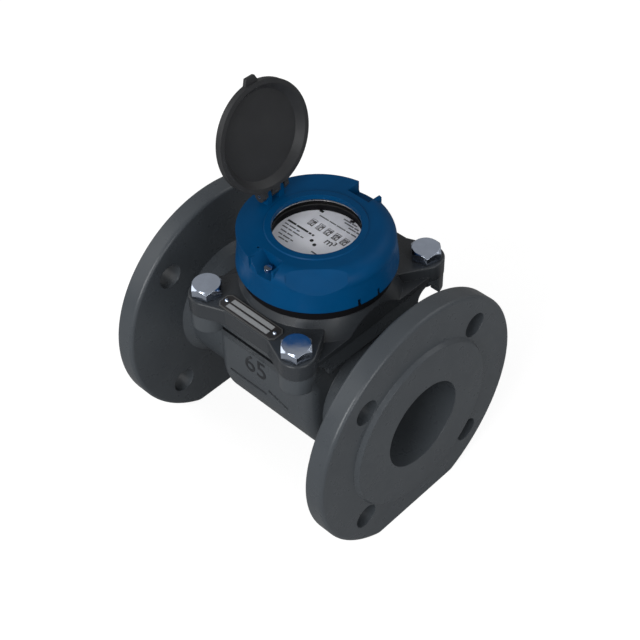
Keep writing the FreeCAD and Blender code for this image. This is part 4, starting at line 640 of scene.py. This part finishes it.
class METER_OT_dial_print(MeterOperator, bpy.types.Operator):
    """Print on the dial: rows of plain bars, the unit, two dots, three tabs and window frames."""

    bl_idname = "water_meter.dial_print"
    bl_label = "Dial print"

    def execute(self, context):
        dial = context.scene.meter_dial
        floor = top("dial_plate")
        head = floor + context.scene.meter_steel.print_thickness

        def words(rows, wide):
            def build(shape):
                for x, y, lengths in rows:
                    for long in lengths:
                        dial_bar(shape, x, y, long, wide, floor, head)
                        x += long + WORD_SPACE

            return build

        def frames(shape):
            long, wide, line = dial.window_length / MM, dial.window_width / MM, dial.frame_line / MM
            for drum in DRUMS:
                x = (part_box(drum)[1].x - DRUM_WIDTH / 2 - HEAD.x) / MM
                y = (DRUM.y - HEAD.y) / MM
                for side in (-1, 1):
                    start = x + side * (long + line) / 2 - line / 2
                    dial_bar(shape, start, y, line, wide + 2 * line, floor, head)
                    dial_bar(shape, x - long / 2, y + side * (wide + line) / 2, long, line, floor, head)

        def dots(shape):
            for x, y in DOTS:
                centre = Matrix.Translation((HEAD.x + x * MM, HEAD.y + y * MM, (floor + head) / 2))
                bmesh.ops.create_cone(shape, cap_ends=True, segments=DOT_SIDES, radius1=DOT_RADIUS * MM,
                                      radius2=DOT_RADIUS * MM, depth=head - floor, matrix=centre)

        def tabs(shape):
            for x, y, long, wide in TABS:
                dial_bar(shape, x, y, long, wide, floor, head)

        for name, build, finish_name in (
            ("dial_words_bold", words(BOLD_WORDS, BOLD_WIDTH), "ink"),
            ("dial_words_small", words(SMALL_WORDS, SMALL_WIDTH), "faint_ink"),
            ("dial_frames", frames, "ink"),
            ("dial_dots", dots, "ink"),
            ("dial_tabs", tabs, "ink"),
        ):
            piece(name, mesh_from(build, name), finish_name, "dial_plate")
        for name, text, x, y, share in UNIT:
            mesh = glyphs(text, dial.unit_size * share, head - floor, name, dial.bold)
            mesh.transform(Matrix.Translation((HEAD.x + x * MM, HEAD.y + y * MM, floor)))
            piece(name, mesh, "ink", "dial_plate")
        return {"FINISHED"}


class Tree:
    """A Geometry Nodes tree with the calls that its makers need."""

    def __init__(self, name):
        self.tree = bpy.data.node_groups.new(name, "GeometryNodeTree")
        self.tree.interface.new_socket("Geometry", in_out="OUTPUT", socket_type="NodeSocketGeometry")
        self.inputs = self.tree.nodes.new("NodeGroupInput")
        self.sockets = {}

    def input(self, name, kind, value):
        """Add a named input with its value."""
        socket = self.tree.interface.new_socket(name, in_out="INPUT", socket_type=kind)
        self.sockets[socket.identifier] = value
        return self.inputs.outputs[name]

    def node(self, kind, sources=None, **settings):
        """Add a node, link its inputs and set the rest."""
        made = self.tree.nodes.new(kind)
        for setting, value in settings.items():
            setattr(made, setting, value)
        for socket, source in (sources or {}).items():
            if isinstance(source, bpy.types.NodeSocket):
                self.tree.links.new(source, made.inputs[socket])
            else:
                made.inputs[socket].default_value = source
        return made

    def math(self, operation, first, second=0.0):
        """A value worked out from two others."""
        return self.node("ShaderNodeMath", {0: first, 1: second}, operation=operation).outputs[0]

    def vector(self, x=0.0, y=0.0, z=0.0):
        """A vector from three values."""
        return self.node("ShaderNodeCombineXYZ", {0: x, 1: y, 2: z}).outputs[0]

    def add(self, first, second):
        """The sum of two vectors."""
        return self.node("ShaderNodeVectorMath", {0: first, 1: second}, operation="ADD").outputs[0]

    def finish(self, geometry, finish_name):
        """End the tree in real geometry with a material."""
        real = self.node("GeometryNodeRealizeInstances", {0: geometry}).outputs[0]
        coated = self.node("GeometryNodeSetMaterial", {"Geometry": real, "Material": material(finish_name)})
        output = self.tree.nodes.new("NodeGroupOutput")
        self.tree.links.new(coated.outputs[0], output.inputs[0])

    def mesh(self, name):
        """Run the tree on an empty mesh and return the plain mesh that it makes."""
        holder = bpy.data.objects.new(name, bpy.data.meshes.new(name))
        bpy.context.scene.collection.objects.link(holder)
        modifier = holder.modifiers.new(name, "NODES")
        modifier.node_group = self.tree
        for identifier, value in self.sockets.items():
            modifier[identifier] = value
        graph = bpy.context.evaluated_depsgraph_get()
        made = bpy.data.meshes.new_from_object(holder.evaluated_get(graph))
        bpy.data.objects.remove(holder)
        return made


def digit_tree(dial, centre):
    """Digits that stand round a drum, each a solid character."""
    tree = Tree("drum_digits")
    size = tree.input("Type size", "NodeSocketFloat", dial.digit_size)
    relief = tree.input("Relief", "NodeSocketFloat", dial.digit_relief)
    radius = tree.input("Drum radius", "NodeSocketFloat", DRUM_RADIUS)
    proud = tree.input("Proud of drum", "NodeSocketFloat", 0.05 * MM)
    place = tree.input("Centre", "NodeSocketVector", tuple(centre))
    row = tree.node("GeometryNodeStringToCurves", {"String": "0123456789", "Size": size}, pivot_mode="MIDPOINT")
    middle_of = tree.add(tree.node("GeometryNodeInputPosition").outputs[0], row.outputs["Pivot Point"])
    home = tree.node("ShaderNodeVectorMath", {0: middle_of, "Scale": -1.0}, operation="SCALE").outputs[0]
    lift = tree.vector(z=tree.math("ADD", tree.math("SUBTRACT", radius, relief), proud))
    stacked = tree.node("GeometryNodeTranslateInstances", {
        "Instances": row.outputs["Curve Instances"], "Translation": tree.add(home, lift), "Local Space": False,
    }).outputs[0]
    step = -2 * math.pi / dial.digits
    angle = tree.math("MULTIPLY", tree.node("GeometryNodeInputIndex").outputs[0], step)
    ring = tree.node("GeometryNodeRotateInstances", {
        "Instances": stacked, "Rotation": tree.vector(x=angle), "Local Space": False,
    }).outputs[0]
    filled = tree.node("GeometryNodeFillCurve", {"Curve": ring}).outputs[0]
    real = tree.node("GeometryNodeRealizeInstances", {0: filled}).outputs[0]
    face = tree.node("GeometryNodeInputNormal").outputs[0]
    solid = tree.node("GeometryNodeExtrudeMesh", {
        "Mesh": real, "Offset": face, "Offset Scale": relief, "Individual": False,
    }).outputs[0]
    moved = tree.node("GeometryNodeTransform", {"Geometry": solid, "Translation": place}).outputs[0]
    tree.finish(moved, "ink")
    return tree


class METER_OT_drum_digits(MeterOperator, bpy.types.Operator):
    """Ten digits round each number drum."""

    bl_idname = "water_meter.drum_digits"
    bl_label = "Drum digits"

    def execute(self, context):
        dial = context.scene.meter_dial
        for drum in DRUMS:
            centre = Vector((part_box(drum)[1].x - DRUM_WIDTH / 2, DRUM.y, DRUM.z))
            mesh = digit_tree(dial, centre).mesh(f"digits_{drum}")
            if not mesh.polygons:
                raise RuntimeError(f"no digits were made for {drum}")
            piece(f"digits_{drum}", mesh, "ink", drum)
        return {"FINISHED"}


def aim(position, target):
    """Matrix of a lamp that shines from one point at another."""
    turn = (target - position).to_track_quat("-Z", "Y").to_matrix().to_4x4()
    return Matrix.Translation(position) @ turn


# Lamps: direction round and above the meter in degrees, distance and side in metres, power in watts
LAMPS = {
    "key_lamp": (-80, 28, 1.6, 0.9, 19.0),
    "fill_lamp": (-150, 28, 1.8, 1.4, 7.0),
    "side_lamp": (-12, 18, 1.9, 1.0, 12.0),
    "back_lamp": (68, 44, 1.8, 1.2, 5.0),
}


class METER_OT_stage(MeterOperator, bpy.types.Operator):
    """Camera at the photograph's viewpoint, pale floor and soft lamps."""

    bl_idname = "water_meter.stage"
    bl_label = "Stage"

    def execute(self, context):
        scene, stage = context.scene, context.scene.meter_stage
        self.place_camera(scene, stage)
        self.lay_floor(scene, stage)
        self.hang_lamps(scene)
        scene.view_settings.view_transform = "Standard"
        return {"FINISHED"}

    def place_camera(self, scene, stage):
        """Set the camera from the angles and distance of the photograph."""
        level = math.cos(stage.camera_elevation)
        back = Vector((
            math.cos(stage.camera_azimuth) * level, math.sin(stage.camera_azimuth) * level,
            math.sin(stage.camera_elevation),
        ))
        right = Vector((0, 0, 1)).cross(back).normalized()
        up = back.cross(right)
        rolled = Matrix((right, up, back)).transposed().to_4x4() @ Matrix.Rotation(stage.camera_roll, 4, "Z")
        shift = rolled.to_3x3() @ Vector((stage.camera_across, stage.camera_up, stage.camera_distance))
        camera = bpy.data.objects.new("camera", bpy.data.cameras.new("camera"))
        camera.data.sensor_width = 36.0
        camera.data.lens = stage.camera_lens
        camera.matrix_world = Matrix.Translation(shift + Vector((0, 0, PIPE_HEIGHT))) @ rolled
        scene.collection.objects.link(camera)
        scene.camera = camera

    def lay_floor(self, scene, stage):
        """A pale floor that looks white to the camera away from shadows."""
        finish = Finish("floor", stage.floor, 0.9)
        finish.set("Specular IOR Level", 0.0)
        path = finish.tree.nodes.new("ShaderNodeLightPath")
        gain = finish.tree.nodes.new("ShaderNodeMath")
        gain.operation = "MULTIPLY"
        gain.inputs[1].default_value = stage.floor_lift
        finish.tree.links.new(path.outputs["Is Camera Ray"], gain.inputs[0])
        finish.set("Emission Color", (1.0, 1.0, 1.0, 1.0))
        finish.tree.links.new(gain.outputs[0], finish.shader.inputs["Emission Strength"])
        half = stage.floor_size / 2

        def plane(shape):
            corners = [(-half, -half), (half, -half), (half, half), (-half, half)]
            shape.faces.new([shape.verts.new((x, y, 0.0)) for x, y in corners])

        floor = bpy.data.objects.new("floor", mesh_from(plane, "floor"))
        floor.data.materials.append(finish.material)
        scene.collection.objects.link(floor)
        world = bpy.data.worlds.new("world")
        world.use_nodes = True
        background = world.node_tree.nodes["Background"]
        background.inputs["Color"].default_value = (1.0, 1.0, 1.0, 1.0)
        light = world.node_tree.nodes.new("ShaderNodeLightPath")
        sight = world.node_tree.nodes.new("ShaderNodeMapRange")
        sight.inputs["To Min"].default_value = stage.sky
        sight.inputs["To Max"].default_value = 1.0
        world.node_tree.links.new(light.outputs["Is Camera Ray"], sight.inputs["Value"])
        world.node_tree.links.new(sight.outputs["Result"], background.inputs["Strength"])
        scene.world = world

    def hang_lamps(self, scene):
        """Hang the square lamps, each aimed at the middle of the meter."""
        target = Vector((0, 0, PIPE_HEIGHT))
        for name, (azimuth, elevation, distance, side, power) in LAMPS.items():
            turn, lift = math.radians(azimuth), math.radians(elevation)
            level = math.cos(lift)
            away = Vector((math.cos(turn) * level, math.sin(turn) * level, math.sin(lift)))
            data = bpy.data.lights.new(name, "AREA")
            data.energy = power
            data.size = side
            lamp = bpy.data.objects.new(name, data)
            lamp.matrix_world = aim(target + distance * away, target)
            scene.collection.objects.link(lamp)


OPERATORS = (
    METER_OT_finishes, METER_OT_cast_marks, METER_OT_plate_print, METER_OT_dial_print, METER_OT_drum_digits,
    METER_OT_stage,
)


class METER_PT_panel(bpy.types.Panel):
    """Buttons for each group of pieces."""

    bl_idname = "METER_PT_panel"
    bl_label = "Water Meter"
    bl_space_type = "VIEW_3D"
    bl_region_type = "UI"
    bl_category = "Water Meter"

    def draw(self, context):
        column = self.layout.column(align=True)
        for operator in OPERATORS:
            column.operator(operator.bl_idname)


def register():
    """Register the classes and hang the settings on the scene."""
    for group in (*GROUPS.values(), *OPERATORS, METER_PT_panel):
        bpy.utils.register_class(group)
    for name, group in GROUPS.items():
        setattr(bpy.types.Scene, name, PointerProperty(type=group))


def unregister():
    """Take the settings and classes away again."""
    for name in GROUPS:
        delattr(bpy.types.Scene, name)
    for group in (METER_PT_panel, *reversed(OPERATORS), *GROUPS.values()):
        bpy.utils.unregister_class(group)


def main():
    """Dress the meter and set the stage."""
    register()
    bpy.ops.water_meter.finishes()
    bpy.ops.water_meter.cast_marks()
    bpy.ops.water_meter.plate_print()
    bpy.ops.water_meter.dial_print()
    bpy.ops.water_meter.drum_digits()
    bpy.ops.water_meter.stage()


if __name__ == "__main__":
    main()
